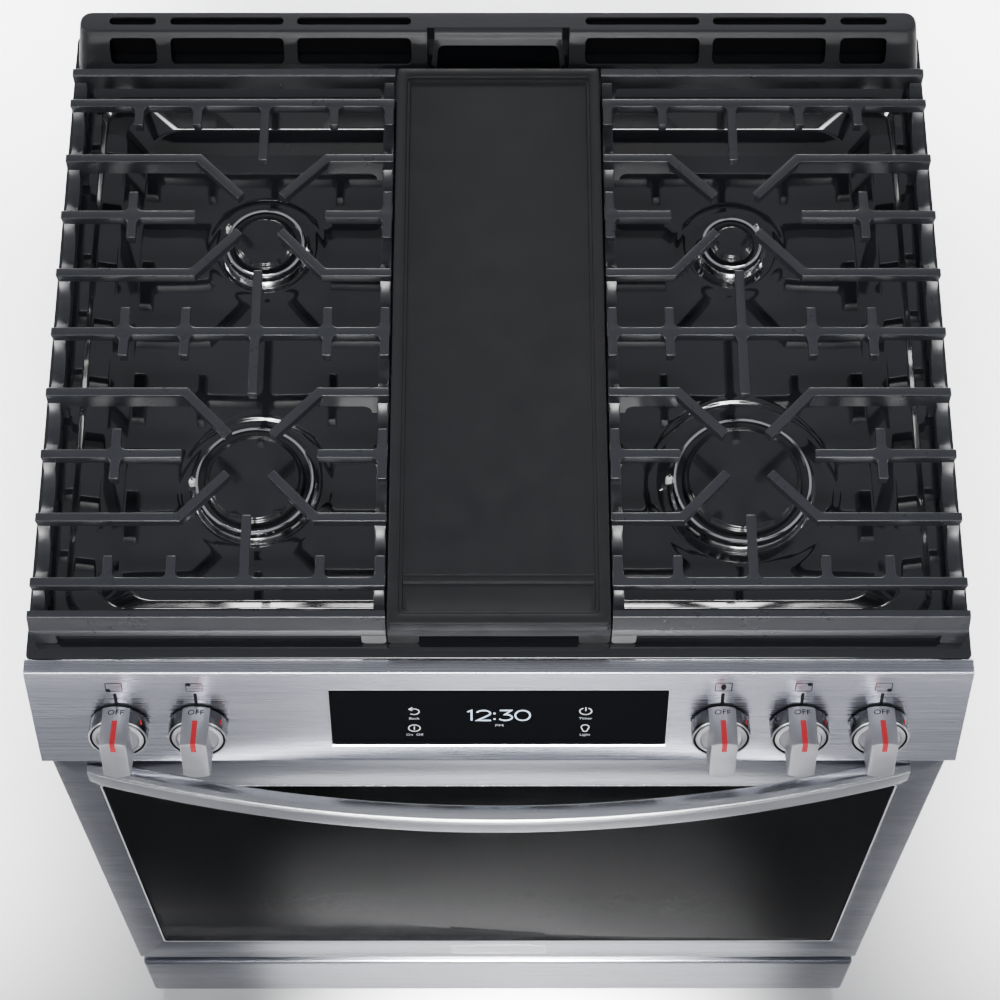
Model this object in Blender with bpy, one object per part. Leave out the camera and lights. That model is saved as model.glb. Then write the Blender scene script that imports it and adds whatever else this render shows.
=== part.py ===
"""A 30 inch front-control gas range: every sub-part is its own closed solid, in metres, +Z up.

The origin is on the floor under the middle of the range. X runs to the user's right, Y to the back.
Most places are given from the crease of the control panel, the long edge where its narrow top band
turns into its sloping face: y backwards from that edge, z up from it, which is the cooktop's level.
"""

import math

import bpy
from mathutils import Matrix, Vector

# ---------------------------------------------------------------------------- driving dimensions
COOKTOP_HEIGHT = 0.905
CREASE_Y = -0.2675
GAP = 0.0003
SHEET = 0.0015

PANEL_HALF = 0.3794
COOKTOP_HALF = 0.3785
BODY_HALF = 0.3755
DOOR_HALF = 0.3745
DRAWER_HALF = 0.3740

PANEL_SLOPE = math.radians(16.5)
PANEL_FACE_LENGTH = 0.1171
PANEL_BAND = 0.0125
PANEL_BOTTOM_Z = -0.1185
PANEL_WALL = 0.0020

BODY_FRONT_Y = 0.0225
BODY_BACK_Y = 0.6162
REAR_SKIN_Y = 0.6180
FLOOR_Z = -COOKTOP_HEIGHT
SIDE_TOP_Z = -0.0020
SIDE_BOTTOM_Z = -0.8700
SIDE_LIP = 0.0120

DOOR_FACE_Y = -0.0272
DOOR_BACK_Y = 0.0140
DOOR_TOP_Z = -0.1205
DOOR_BOTTOM_Z = -0.7284
WINDOW_HALF = 0.3430
WINDOW_TOP_Z = -0.1905
WINDOW_BOTTOM_Z = -0.6690
HINGE_Y = 0.0
HINGE_Z = DOOR_BOTTOM_Z + 0.0165
HINGE_X = 0.3300
HINGE_PIN_RADIUS = 0.0040
ARM_HALF_HEIGHT = 0.0070

DRAWER_TOP_Z = -0.7505
DRAWER_BOTTOM_Z = -0.8552
DRAWER_FRONT_DEPTH = 0.0200
DRAWER_PAN_HALF = 0.3350
DRAWER_PAN_BACK_Y = 0.5000
RUNNER_Z = -0.8020

CAVITY_HALF = 0.3100
CAVITY_TOP_Z = -0.1650
CAVITY_FLOOR_Z = -0.6150
CAVITY_BACK_Y = 0.5200
RACK_LEVELS = 5
RACK_PITCH = 0.0750
LOW_RACK_Z = -0.5500
RACKS = {"lower_oven_rack": 1, "upper_oven_rack": 3}

FAN_Z = -0.3850
FAN_SLOT_PITCH = 0.0200
FAN_GRILLE_RADIUS = 0.0720
LAMP_X = -0.2400
LAMP_Z = -0.2250

PAN_FLOOR_Z = -0.0220
BURNER_X = 0.2025
FRONT_BURNER_Y = 0.1760
REAR_BURNER_Y = 0.4050
RING_TOP_Z = -0.0100
BURNER_HOLE = 0.0185
BURNER_NECK = 0.0170
BURNER_NECK_Z = -0.0420
BURNERS = {
    "left_front": (-BURNER_X, FRONT_BURNER_Y, 0.0487, 0.0415),
    "left_rear": (-BURNER_X, REAR_BURNER_Y, 0.0337, 0.0270),
    "right_front": (BURNER_X, FRONT_BURNER_Y, 0.0570, 0.0495),
    "right_rear": (BURNER_X, REAR_BURNER_Y, 0.0257, 0.0194),
}
OVAL_HALF_LENGTH = 0.0800
OVAL_HALF_WIDTH = 0.0300
OVAL_Y = 0.2900

GRATE_TOP_Z = 0.0406
GRATE_BAR_HEIGHT = 0.0140
GRATE_BAR_WIDTH = 0.0080
GRATE_OUTER_X = 0.3725
GRATE_INNER_X = 0.0900
GRATE_REAR_Y = 0.5539
GRATE_FRONT_Y = 0.0255
FIRST_BAR_Y = 0.5176
BAR_PITCH = 0.05695
FINGER_BEND = 0.0550
FINGER_TIP = 0.0174
TOOTH_OFFSETS = (0.1090, 0.0585, 0, -0.0600, -0.1078)
SHORT_TOOTH = 0.0230
LONG_TOOTH = 0.0590
FOOT_HALF = 0.0070
FOOT_TOP_Z = GRATE_TOP_Z - 0.0120
GRIDDLE_HALF = 0.0885
GRIDDLE_RIM = 0.0085

TRIM_HALF = 0.3737
TRIM_TOP_Z = 0.0380
TRIM_FRONT_FOOT_Y = 0.5730
TRIM_FRONT_TOP_Y = 0.5942

KNOB_X = (-0.3090, -0.2445, 0.1805, 0.2448, 0.3090)
KNOB_DOWN_FACE = 0.0645
KNOB_NAMES = ("left_front", "left_rear", "centre", "right_rear", "right_front")
KNOB_RADIUS = 0.0244
KNOB_STANDOFF = 0.0020
KNOB_SKIRT_TOP = 0.0175
KNOB_DEPTH = 0.0400
GRIP_HALF_WIDTH = 0.0110
STEM_RADIUS = 0.0030
STEM_FRONT = 0.0230
STEM_BACK = -0.0200

HANDLE_HALF = 0.3440
HANDLE_TOP_Z = -0.1250
HANDLE_HEIGHT = 0.0320
HANDLE_DEPTH = 0.0160
HANDLE_BOW = 0.0440
HANDLE_END_FRONT_Y = -0.0390

DISPLAY_HALF = 0.1373
DISPLAY_UPPER = 0.0215
DISPLAY_LOWER = 0.0940
DISPLAY_GLASS = 0.0030

LEG_X = 0.3300
LEG_Y = (0.0700, 0.5600)

# colour, roughness, metallic
FINISHES = {
    "stainless": ((0.56, 0.57, 0.60), 0.30, 1.0),
    "black_enamel": ((0.012, 0.013, 0.016), 0.10, 0.0),
    "grate_iron": ((0.045, 0.047, 0.053), 0.50, 0.0),
    "griddle_iron": ((0.028, 0.029, 0.033), 0.55, 0.0),
    "burner_aluminium": ((0.72, 0.72, 0.74), 0.22, 1.0),
    "cap_enamel": ((0.016, 0.017, 0.019), 0.22, 0.0),
    "oven_enamel": ((0.050, 0.052, 0.060), 0.28, 0.0),
    "dark_glass": ((0.010, 0.010, 0.012), 0.04, 0.0),
    "clear_glass": ((0.60, 0.62, 0.62), 0.03, 0.0),
    "side_paint": ((0.16, 0.165, 0.175), 0.42, 0.0),
    "galvanised": ((0.55, 0.56, 0.57), 0.45, 1.0),
    "rack_chrome": ((0.60, 0.60, 0.62), 0.20, 1.0),
    "gasket_fibre": ((0.20, 0.20, 0.21), 0.85, 0.0),
    "board_plastic": ((0.03, 0.04, 0.035), 0.50, 0.0),
    "foot_plastic": ((0.03, 0.03, 0.03), 0.55, 0.0),
}


# ---------------------------------------------------------------------------- modelling helpers
def clear_scene():
    for leftover in list(bpy.data.objects):
        bpy.data.objects.remove(leftover, do_unlink=True)


def make_materials():
    made = {}
    for name, (colour, roughness, metallic) in FINISHES.items():
        made[name] = bpy.data.materials.new(name)
        made[name].use_nodes = True
        shader = made[name].node_tree.nodes["Principled BSDF"]
        shader.inputs["Base Color"].default_value = (*colour, 1.0)
        shader.inputs["Roughness"].default_value = roughness
        shader.inputs["Metallic"].default_value = metallic
    return made


def from_crease(x, y, z):
    """A point given from the panel's crease, as a point in the range's own frame."""
    return Vector((x, CREASE_Y + y, COOKTOP_HEIGHT + z))


def solid(name, points, faces, finish):
    """A mesh object whose points are already in the range's own frame."""
    mesh = bpy.data.meshes.new(name)
    mesh.from_pydata([tuple(point) for point in points], [], faces)
    mesh.validate()
    made = bpy.data.objects.new(name, mesh)
    bpy.context.scene.collection.objects.link(made)
    made.data.materials.append(MATERIALS[finish])
    return made


def smooth(made, degrees=35):
    made.data.shade_smooth()
    made.data.set_sharp_from_angle(angle=math.radians(degrees))
    return made


def prism(name, outline, axis, low, high, finish="stainless"):
    """An outline drawn in the plane across one axis, extruded along it; all measured from the crease."""
    order = {"x": (2, 0, 1), "y": (0, 2, 1), "z": (0, 1, 2)}[axis]
    points = []
    for along in (low, high):
        for first, second in outline:
            local = (first, second, along)
            points.append(from_crease(*(local[index] for index in order)))
    count = len(outline)
    area = sum(
        outline[i][0] * outline[(i + 1) % count][1] - outline[(i + 1) % count][0] * outline[i][1]
        for i in range(count)
    )
    low_cap = list(range(count))[::-1]
    high_cap = list(range(count, 2 * count))
    walls = [(i, (i + 1) % count, count + (i + 1) % count, count + i) for i in range(count)]
    faces = [low_cap, high_cap, *walls]
    turned_over = (area < 0) != (axis == "y")
    if turned_over:
        faces = [tuple(reversed(face)) for face in faces]
    return solid(name, points, faces, finish)


def box(name, xs, ys, zs, finish="stainless"):
    outline = [(xs[0], ys[0]), (xs[1], ys[0]), (xs[1], ys[1]), (xs[0], ys[1])]
    return prism(name, outline, "z", zs[0], zs[1], finish)


def rounded(half_x, low, high, radius, steps=4):
    """A rectangle from -half_x to half_x and from low to high, its corners turned with arcs."""
    outline = []
    corners = ((half_x, low, -90), (half_x, high, 0), (-half_x, high, 90), (-half_x, low, 180))
    for x, other, start in corners:
        centre_x = x - math.copysign(radius, x)
        centre_other = other + radius if other == low else other - radius
        for step in range(steps + 1):
            angle = math.radians(start + 90 * step / steps)
            outline.append((centre_x + radius * math.cos(angle), centre_other + radius * math.sin(angle)))
    return outline


def circle(x, y, radius, sides):
    turn = 2 * math.pi / sides
    return [(x + radius * math.cos(i * turn), y + radius * math.sin(i * turn)) for i in range(sides)]


def oval(half_x, half_y, centre_y, sides=24):
    """A long slot shape standing along Y, with round ends."""
    straight = half_y - half_x
    outline = []
    for i in range(sides):
        angle = 2 * math.pi * (i + 0.5) / sides
        shift = math.copysign(straight, math.sin(angle))
        outline.append((half_x * math.cos(angle), centre_y + shift + half_x * math.sin(angle)))
    return outline


def loft(name, rings, finish):
    """A solid through rings of equal point counts, bottom first, with flat end caps."""
    count = len(rings[0])
    points = [point for ring in rings for point in ring]
    faces = [tuple(reversed(range(count)))]
    for level in range(len(rings) - 1):
        low = level * count
        faces += [
            (low + i, low + (i + 1) % count, low + count + (i + 1) % count, low + count + i)
            for i in range(count)
        ]
    last = (len(rings) - 1) * count
    faces.append(tuple(range(last, last + count)))
    return solid(name, points, faces, finish)


def turned(name, profile, finish, sides=24):
    """A round solid about its own Z axis; the profile is (radius, height), bottom first."""
    rings = [[(x, y, z) for x, y in circle(0, 0, radius, sides)] for radius, z in profile]
    return smooth(loft(name, rings, finish))


def helper(made):
    made.hide_render = True
    made.display_type = "WIRE"
    return made


def combine(target, other, operation, own_overlaps=False):
    modifier = target.modifiers.new(operation.lower(), "BOOLEAN")
    modifier.operation = operation
    modifier.solver = "EXACT"
    modifier.use_self = own_overlaps
    modifier.object = helper(other)
    return target


def cut(target, *cutters):
    for cutter in cutters:
        combine(target, cutter, "DIFFERENCE")
    return target


def fuse(target, *additions):
    for addition in additions:
        combine(target, addition, "UNION")
    return target


def merged(name, pieces, finish):
    """One solid from many overlapping ones: the first takes in a single mesh that holds all the others."""
    target = pieces[0]
    target.name = name
    target.data.materials.clear()
    target.data.materials.append(MATERIALS[finish])
    points = []
    faces = []
    for piece in pieces[1:]:
        start = len(points)
        points += [vertex.co.copy() for vertex in piece.data.vertices]
        faces += [tuple(start + index for index in face.vertices) for face in piece.data.polygons]
        bpy.data.objects.remove(piece, do_unlink=True)
    rest = solid(name + "_pieces", points, faces, finish)
    return combine(target, rest, "UNION", own_overlaps=True)


def place(made, matrix):
    made.matrix_world = matrix
    return made


def facing_front(x, y, z):
    """The frame of a turned piece that stands out of the oven's back wall towards the front."""
    return Matrix.Translation(from_crease(x, y, z)) @ Matrix.Rotation(math.radians(90), 4, "X")


def pivot(name, location):
    """An empty on a joint's axis, which the moving pieces are parented to."""
    made = bpy.data.objects.new(name, None)
    made.location = location
    made.empty_display_size = 0.05
    bpy.context.scene.collection.objects.link(made)
    return made


def hang(parent, *children):
    bpy.context.view_layer.update()
    for child in children:
        world = child.matrix_world.copy()
        child.parent = parent
        child.matrix_parent_inverse = parent.matrix_world.inverted()
        child.matrix_world = world


def tube(name, points, radius, finish, closed=False, sides=2):
    """A bent tube along a route of points given from the crease."""
    data = bpy.data.curves.new(name, "CURVE")
    data.dimensions = "3D"
    data.bevel_depth = radius
    data.bevel_resolution = sides
    data.use_fill_caps = True
    spline = data.splines.new("POLY")
    spline.points.add(len(points) - 1)
    for slot, point in zip(spline.points, points):
        slot.co = (*from_crease(*point), 1.0)
    spline.use_cyclic_u = closed
    made = bpy.data.objects.new(name, data)
    bpy.context.scene.collection.objects.link(made)
    data.materials.append(MATERIALS[finish])
    return made


def panel_point(down, out):
    """A point (y, z) down the panel's sloping face from the crease and out from it."""
    y = -down * math.sin(PANEL_SLOPE) - out * math.cos(PANEL_SLOPE)
    z = -down * math.cos(PANEL_SLOPE) + out * math.sin(PANEL_SLOPE)
    return y, z


def panel_matrix(x, down, out=0.0):
    """A frame on the panel's face: its Z points out of the face, its Y up the face, its X to the right."""
    y, z = panel_point(down, out)
    outward = Vector((0, -math.cos(PANEL_SLOPE), math.sin(PANEL_SLOPE)))
    up_face = Vector((0, math.sin(PANEL_SLOPE), math.cos(PANEL_SLOPE)))
    turn = Matrix((Vector((1, 0, 0)), up_face, outward)).transposed().to_4x4()
    return Matrix.Translation(from_crease(x, y, z)) @ turn


# ---------------------------------------------------------------------------- body
def side_panels():
    """Folded sheet sides: a long wall with a return at the front and one at the back."""
    inner = BODY_HALF - SHEET
    lip = BODY_HALF - SIDE_LIP
    for side, name in ((-1, "left_side_panel"), (1, "right_side_panel")):
        front, back = BODY_FRONT_Y, BODY_BACK_Y - SHEET - GAP
        outline = [
            (side * BODY_HALF, front),
            (side * BODY_HALF, back),
            (side * lip, back),
            (side * lip, back - SHEET),
            (side * inner, back - SHEET),
            (side * inner, front + SHEET),
            (side * lip, front + SHEET),
            (side * lip, front),
        ]
        prism(name, outline, "z", SIDE_BOTTOM_Z, SIDE_TOP_Z, "side_paint")


def rear_panel():
    skin_y = (BODY_BACK_Y + GAP, REAR_SKIN_Y)
    panel = box("rear_panel", (-BODY_HALF, BODY_HALF), skin_y, (SIDE_BOTTOM_Z, SIDE_TOP_Z), "galvanised")
    inlet = box("gas_inlet_opening", (-0.2600, -0.1400), (0.6100, 0.6300), (-0.8400, -0.7600))
    service = box("motor_vent_opening", (-0.0500, 0.0500), (0.6100, 0.6300), (-0.3550, -0.3450))
    return cut(panel, inlet, service)


def base_pan():
    """The bottom tray that stiffens the body and carries the four legs."""
    half = BODY_HALF - SHEET - GAP
    ys = (BODY_FRONT_Y + SHEET + GAP, BODY_BACK_Y - 2 * SHEET - 2 * GAP)
    tray = box("base_pan", (-half, half), ys, (-0.8720, -0.8560), "galvanised")
    hollow_x = (-half + SHEET, half - SHEET)
    hollow_y = (ys[0] + SHEET, ys[1] - SHEET)
    hollow = box("base_pan_hollow", hollow_x, hollow_y, (-0.8705, -0.8500))
    cut(tray, hollow)
    for x in (-LEG_X, LEG_X):
        for y in LEG_Y:
            cut(tray, prism("leg_hole", circle(x, y, 0.0066, 16), "z", -0.8800, -0.8600))
    return tray


def leveling_legs():
    """A foot with a hexagon above it and a thread that stands in the base pan's hole."""
    names = ("front_left", "rear_left", "front_right", "rear_right")
    places = [(x, y) for x in (-LEG_X, LEG_X) for y in LEG_Y]
    foot = [(0.0170, 0), (0.0180, 0.0020), (0.0180, 0.0090)]
    nut = [(0.0110, 0.0120), (0.0110, 0.0320)]
    thread = [(0.0060, 0.0322), (0.0060, 0.0460)]
    for name, (x, y) in zip(names, places):
        leg = turned("leveling_leg_" + name, foot + nut + thread, "foot_plastic", 20)
        place(leg, Matrix.Translation(from_crease(x, y, FLOOR_Z)))


def oven_cavity():
    """The oven box, open to the front, with a flange at its mouth and ribs that carry the racks."""
    outer = CAVITY_HALF + SHEET
    mouth = BODY_FRONT_Y + 0.0030
    cavity = box(
        "oven_cavity",
        (-outer, outer),
        (mouth, CAVITY_BACK_Y + SHEET),
        (CAVITY_FLOOR_Z - SHEET, CAVITY_TOP_Z + SHEET),
        "oven_enamel",
    )
    flange_x = (-outer - 0.0150, outer + 0.0150)
    flange = box(
        "cavity_flange",
        flange_x,
        (mouth, mouth + SHEET),
        (CAVITY_FLOOR_Z - 0.0150, CAVITY_TOP_Z + 0.0150),
    )
    fuse(cavity, flange)
    hollow = box(
        "cavity_hollow",
        (-CAVITY_HALF, CAVITY_HALF),
        (mouth - 0.0100, CAVITY_BACK_Y),
        (CAVITY_FLOOR_Z, CAVITY_TOP_Z),
    )
    cut(cavity, hollow)
    for side in (-1, 1):
        for level in range(RACK_LEVELS):
            top = LOW_RACK_Z + level * RACK_PITCH
            wall = side * (CAVITY_HALF + SHEET / 2)
            rib_xs = sorted((wall, side * (CAVITY_HALF - 0.0090)))
            fuse(cavity, box("rack_rib", rib_xs, (0.0500, 0.4700), (top - 0.0050, top)))
    shaft_hole = prism("fan_shaft_hole", circle(0, FAN_Z, 0.0080, 16), "y", 0.5000, 0.5400)
    lamp_hole = prism("lamp_hole", circle(LAMP_X, LAMP_Z, 0.0200, 20), "y", 0.5000, 0.5400)
    return cut(cavity, shaft_hole, lamp_hole)


def front_frame():
    """The face of the body round the oven's mouth, with slots that take the hinge arms."""
    half = BODY_HALF - SIDE_LIP - GAP
    frame_y = (BODY_FRONT_Y, BODY_FRONT_Y + 0.0025)
    frame = box("front_frame", (-half, half), frame_y, (-0.7400, -0.1300), "oven_enamel")
    mouth = box("mouth", (-CAVITY_HALF, CAVITY_HALF), (0.0100, 0.0400), (CAVITY_FLOOR_Z, CAVITY_TOP_Z))
    cut(frame, mouth)
    for side in (-1, 1):
        xs = sorted((side * (HINGE_X - 0.0035), side * (HINGE_X + 0.0035)))
        cut(frame, box("hinge_slot", xs, (0.0100, 0.0400), (HINGE_Z - 0.0090, HINGE_Z + 0.0090)))
    return frame


def oven_insides():
    """Burners, fan, fan cover and lamp in and under the oven."""
    plate_z = (-0.1850, CAVITY_TOP_Z - GAP)
    plate = box("broil_burner", (-0.0600, 0.0600), (0.0900, 0.4200), plate_z, "rack_chrome")
    recess = box("broil_screen_recess", (-0.0520, 0.0520), (0.0980, 0.4120), (-0.1900, -0.1780))
    cut(plate, recess)

    route = [(0, 0.5000, -0.6600), (0, 0.4200, -0.6450), (0, 0.3000, -0.6400), (0, 0.0800, -0.6400)]
    tube("bake_burner", route, 0.0150, "galvanised", sides=3)

    cover_y = (0.4820, CAVITY_BACK_Y - GAP)
    cover = box("fan_cover", (-0.1150, 0.1150), cover_y, (-0.4950, -0.2750), "oven_enamel")
    inside = box("fan_cover_hollow", (-0.1130, 0.1130), (0.4840, 0.5300), (-0.4930, -0.2770))
    cut(cover, inside)
    for row in range(-3, 4):
        z = FAN_Z + row * FAN_SLOT_PITCH
        half = math.sqrt(FAN_GRILLE_RADIUS**2 - (row * FAN_SLOT_PITCH) ** 2)
        cut(cover, box("fan_slot", (-half, half), (0.4700, 0.4900), (z - 0.0050, z + 0.0050)))
    for side in (-1, 1):
        xs = sorted((side * 0.1100, side * 0.1200))
        cut(cover, box("outlet_slot", xs, (0.4900, 0.5100), (-0.4600, -0.3100)))

    lamp_profile = [(0.0180, 0), (0.0180, 0.0250), (0.0240, 0.0252), (0.0230, 0.0340), (0.0120, 0.0400)]
    lamp = turned("oven_lamp", lamp_profile, "clear_glass", 24)
    place(lamp, facing_front(LAMP_X, 0.5450, LAMP_Z))

    motor_profile = [(0.0380, 0), (0.0400, 0.0020), (0.0400, 0.0380), (0.0380, 0.0400)]
    motor = turned("fan_motor", motor_profile, "galvanised", 24)
    place(motor, facing_front(0, 0.5660, FAN_Z))
    cut(motor, prism("motor_bore", circle(0, FAN_Z, 0.0043, 16), "y", 0.5200, 0.5560))


def convection_fan():
    """A hub with a disc and eight blades, on the shaft that comes through the oven's back wall."""
    axis = from_crease(0, 0, FAN_Z)
    shaft_profile = [(0.0040, 0), (0.0040, 0.0480), (0.0110, 0.0482), (0.0090, 0.0560)]
    shaft = turned("convection_fan", shaft_profile, "rack_chrome", 16)
    place(shaft, facing_front(0, 0.5480, FAN_Z))
    bpy.context.view_layer.update()
    disc = prism("fan_disc", circle(0, FAN_Z, 0.0600, 32), "y", 0.5060, 0.5075)
    fuse(shaft, disc)
    for blade in range(8):
        spin = Matrix.Rotation(blade * math.pi / 4, 4, "Y")
        turn = Matrix.Translation(axis) @ spin @ Matrix.Translation(-axis)
        vane = box("fan_blade", (0.0250, 0.0700), (0.4930, 0.5070), (FAN_Z - 0.0010, FAN_Z + 0.0010))
        place(vane, turn)
        fuse(shaft, vane)
    return shaft


def oven_rack(name, level):
    """A ladder of bars in one plane, with a raised stop along the back."""
    top = LOW_RACK_Z + level * RACK_PITCH + GAP + 0.0050
    half = CAVITY_HALF - 0.0040
    ys = (0.0420, 0.4700)
    rack = box(name, (-half, half), ys, (top - 0.0050, top), "rack_chrome")
    bars = 11
    pitch = 2 * (half - 0.0050) / bars
    for index in range(bars):
        left = -half + 0.0050 + index * pitch
        for low, high in ((ys[0] + 0.0050, 0.2535), (0.2585, ys[1] - 0.0050)):
            xs = (left + 0.0020, left + pitch - 0.0020)
            cut(rack, box("rack_gap", xs, (low, high), (top - 0.0100, top + 0.0050)))
    stop_x = (-half + 0.0200, half - 0.0200)
    stop = box("rack_stop", stop_x, (ys[1] - 0.0050, ys[1]), (top - 0.0010, top + 0.0120))
    return fuse(rack, stop)


def gas_parts():
    """The manifold pipe with its five valve bodies, and the regulator at the back."""
    pipe_y, pipe_z = panel_point(KNOB_DOWN_FACE, -0.0660)
    pipe = prism("gas_manifold", circle(pipe_y, pipe_z, 0.0110, 20), "x", -0.3500, 0.3500, "galvanised")
    for x in KNOB_X:
        outline = [(-0.0130, -0.0130), (0.0130, -0.0130), (0.0130, 0.0130), (-0.0130, 0.0130)]
        points = [(px, py, pz) for pz in (-0.0620, -0.0160) for px, py in outline]
        faces = [(3, 2, 1, 0), (4, 5, 6, 7), (0, 1, 5, 4), (1, 2, 6, 5), (2, 3, 7, 6), (3, 0, 4, 7)]
        body = solid("valve_body", points, faces, "galvanised")
        fuse(pipe, place(body, panel_matrix(x, KNOB_DOWN_FACE)))
    for x in KNOB_X:
        radius = STEM_RADIUS + 0.0005
        bore = turned("valve_bore", [(radius, -0.0260), (radius, -0.0100)], "galvanised", 12)
        cut(pipe, place(bore, panel_matrix(x, KNOB_DOWN_FACE)))

    pipe_end = [(0.0110, 0), (0.0110, 0.0200)]
    bell = [(0.0260, 0.0202), (0.0280, 0.0260), (0.0260, 0.0340)]
    cap = [(0.0120, 0.0360), (0.0100, 0.0600)]
    regulator = turned("pressure_regulator", pipe_end + bell + cap, "galvanised", 16)
    place(regulator, Matrix.Translation(from_crease(-0.2000, 0.5450, -0.8300)))
    inlet = prism("gas_inlet", circle(-0.2000, -0.8020, 0.0105, 20), "y", 0.5400, 0.6080, "galvanised")
    fuse(regulator, inlet)


# ---------------------------------------------------------------------------- control panel
def control_panel():
    """A folded stainless housing, open at the back, with five stem holes and the display's window."""
    foot_y, foot_z = panel_point(PANEL_FACE_LENGTH, 0)
    outline = [
        (PANEL_BAND, 0),
        (0, 0),
        (foot_y, foot_z),
        (foot_y + 0.0030, PANEL_BOTTOM_Z),
        (BODY_FRONT_Y - GAP, PANEL_BOTTOM_Z),
        (BODY_FRONT_Y - GAP, -0.0145),
        (PANEL_BAND, -0.0145),
    ]
    panel = prism("control_panel", outline, "x", -PANEL_HALF, PANEL_HALF, "stainless")
    high_y, high_z = panel_point(0.0030, -PANEL_WALL)
    low_y, low_z = panel_point(PANEL_FACE_LENGTH - 0.0030, -PANEL_WALL)
    hollow = [
        (0.0300, -0.0160),
        (PANEL_BAND - SHEET, -0.0160),
        (PANEL_BAND - SHEET, -PANEL_WALL),
        (high_y + 0.0005, -PANEL_WALL),
        (high_y, high_z),
        (low_y, low_z),
        (low_y + 0.0010, PANEL_BOTTOM_Z + SHEET),
        (0.0300, PANEL_BOTTOM_Z + SHEET),
    ]
    cut(panel, prism("panel_hollow", hollow, "x", -PANEL_HALF + PANEL_WALL, PANEL_HALF - PANEL_WALL))
    for x in KNOB_X:
        hole = turned("stem_hole", [(0.0050, -0.0100), (0.0050, 0.0100)], "stainless", 20)
        cut(panel, place(hole, panel_matrix(x, KNOB_DOWN_FACE)))
    window = [panel_point(down, out) for down, out in display_corners(0.0, 0.0100, -0.0100)]
    return cut(panel, prism("display_window", window, "x", -DISPLAY_HALF, DISPLAY_HALF))


def display_corners(inset, front, back):
    """The display's cross-section as (down the face, out of it) pairs."""
    upper, lower = DISPLAY_UPPER + inset, DISPLAY_LOWER - inset
    return [(upper, front), (upper, back), (lower, back), (lower, front)]


def display():
    glass = [panel_point(down, out) for down, out in display_corners(GAP, 0.0002, 0.0002 - DISPLAY_GLASS)]
    prism("display_glass", glass, "x", -DISPLAY_HALF + GAP, DISPLAY_HALF - GAP, "dark_glass")
    board = [panel_point(down, out) for down, out in display_corners(-0.0020, -0.0032, -0.0150)]
    prism("control_board", board, "x", -0.1500, 0.1500, "board_plastic")


def knob_outline(radius, sides=6):
    """The grip bar seen from the front: straight sides, with ends that follow the knob's own circle."""
    reach = math.asin(GRIP_HALF_WIDTH / radius)
    outline = []
    for start in (90, 270):
        for step in range(sides + 1):
            angle = math.radians(start) - reach + 2 * reach * step / sides
            outline.append((radius * math.cos(angle), radius * math.sin(angle)))
    return outline


def knobs_and_stems():
    """Each knob pushes in on its valve stem and turns about it."""
    for x, name in zip(KNOB_X, KNOB_NAMES):
        matrix = panel_matrix(x, KNOB_DOWN_FACE)
        rod = [(STEM_RADIUS, STEM_BACK), (STEM_RADIUS, STEM_FRONT)]
        stem = turned("valve_stem_" + name, rod, "galvanised", 12)
        place(stem, matrix)
        skirt = [
            (KNOB_RADIUS - 0.0008, KNOB_STANDOFF),
            (KNOB_RADIUS, KNOB_STANDOFF + 0.0010),
            (KNOB_RADIUS - 0.0003, KNOB_SKIRT_TOP - 0.0010),
            (KNOB_RADIUS - 0.0012, KNOB_SKIRT_TOP),
        ]
        knob = turned("knob_" + name, skirt, "stainless", 28)
        grip_rings = [
            [(px, py, pz) for px, py in knob_outline(radius)]
            for radius, pz in ((KNOB_RADIUS + 0.0002, KNOB_STANDOFF), (KNOB_RADIUS - 0.0006, KNOB_DEPTH))
        ]
        grip = loft("knob_grip", grip_rings, "stainless")
        fuse(knob, grip)
        bore_radius = STEM_RADIUS + 0.0002
        bore_profile = [(bore_radius, -0.0010), (bore_radius, STEM_FRONT + 0.0003)]
        bore = turned("knob_bore", bore_profile, "stainless", 12)
        cut(knob, bore)
        for piece in (knob, grip, bore):
            place(piece, matrix)
        hang(knob, grip, bore)
        hang(stem, knob)


# ---------------------------------------------------------------------------- cooktop
def cooktop_ring(half_x, front, back, z, radius):
    return [from_crease(x, y, z) for x, y in rounded(half_x, front, back, radius)]


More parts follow.
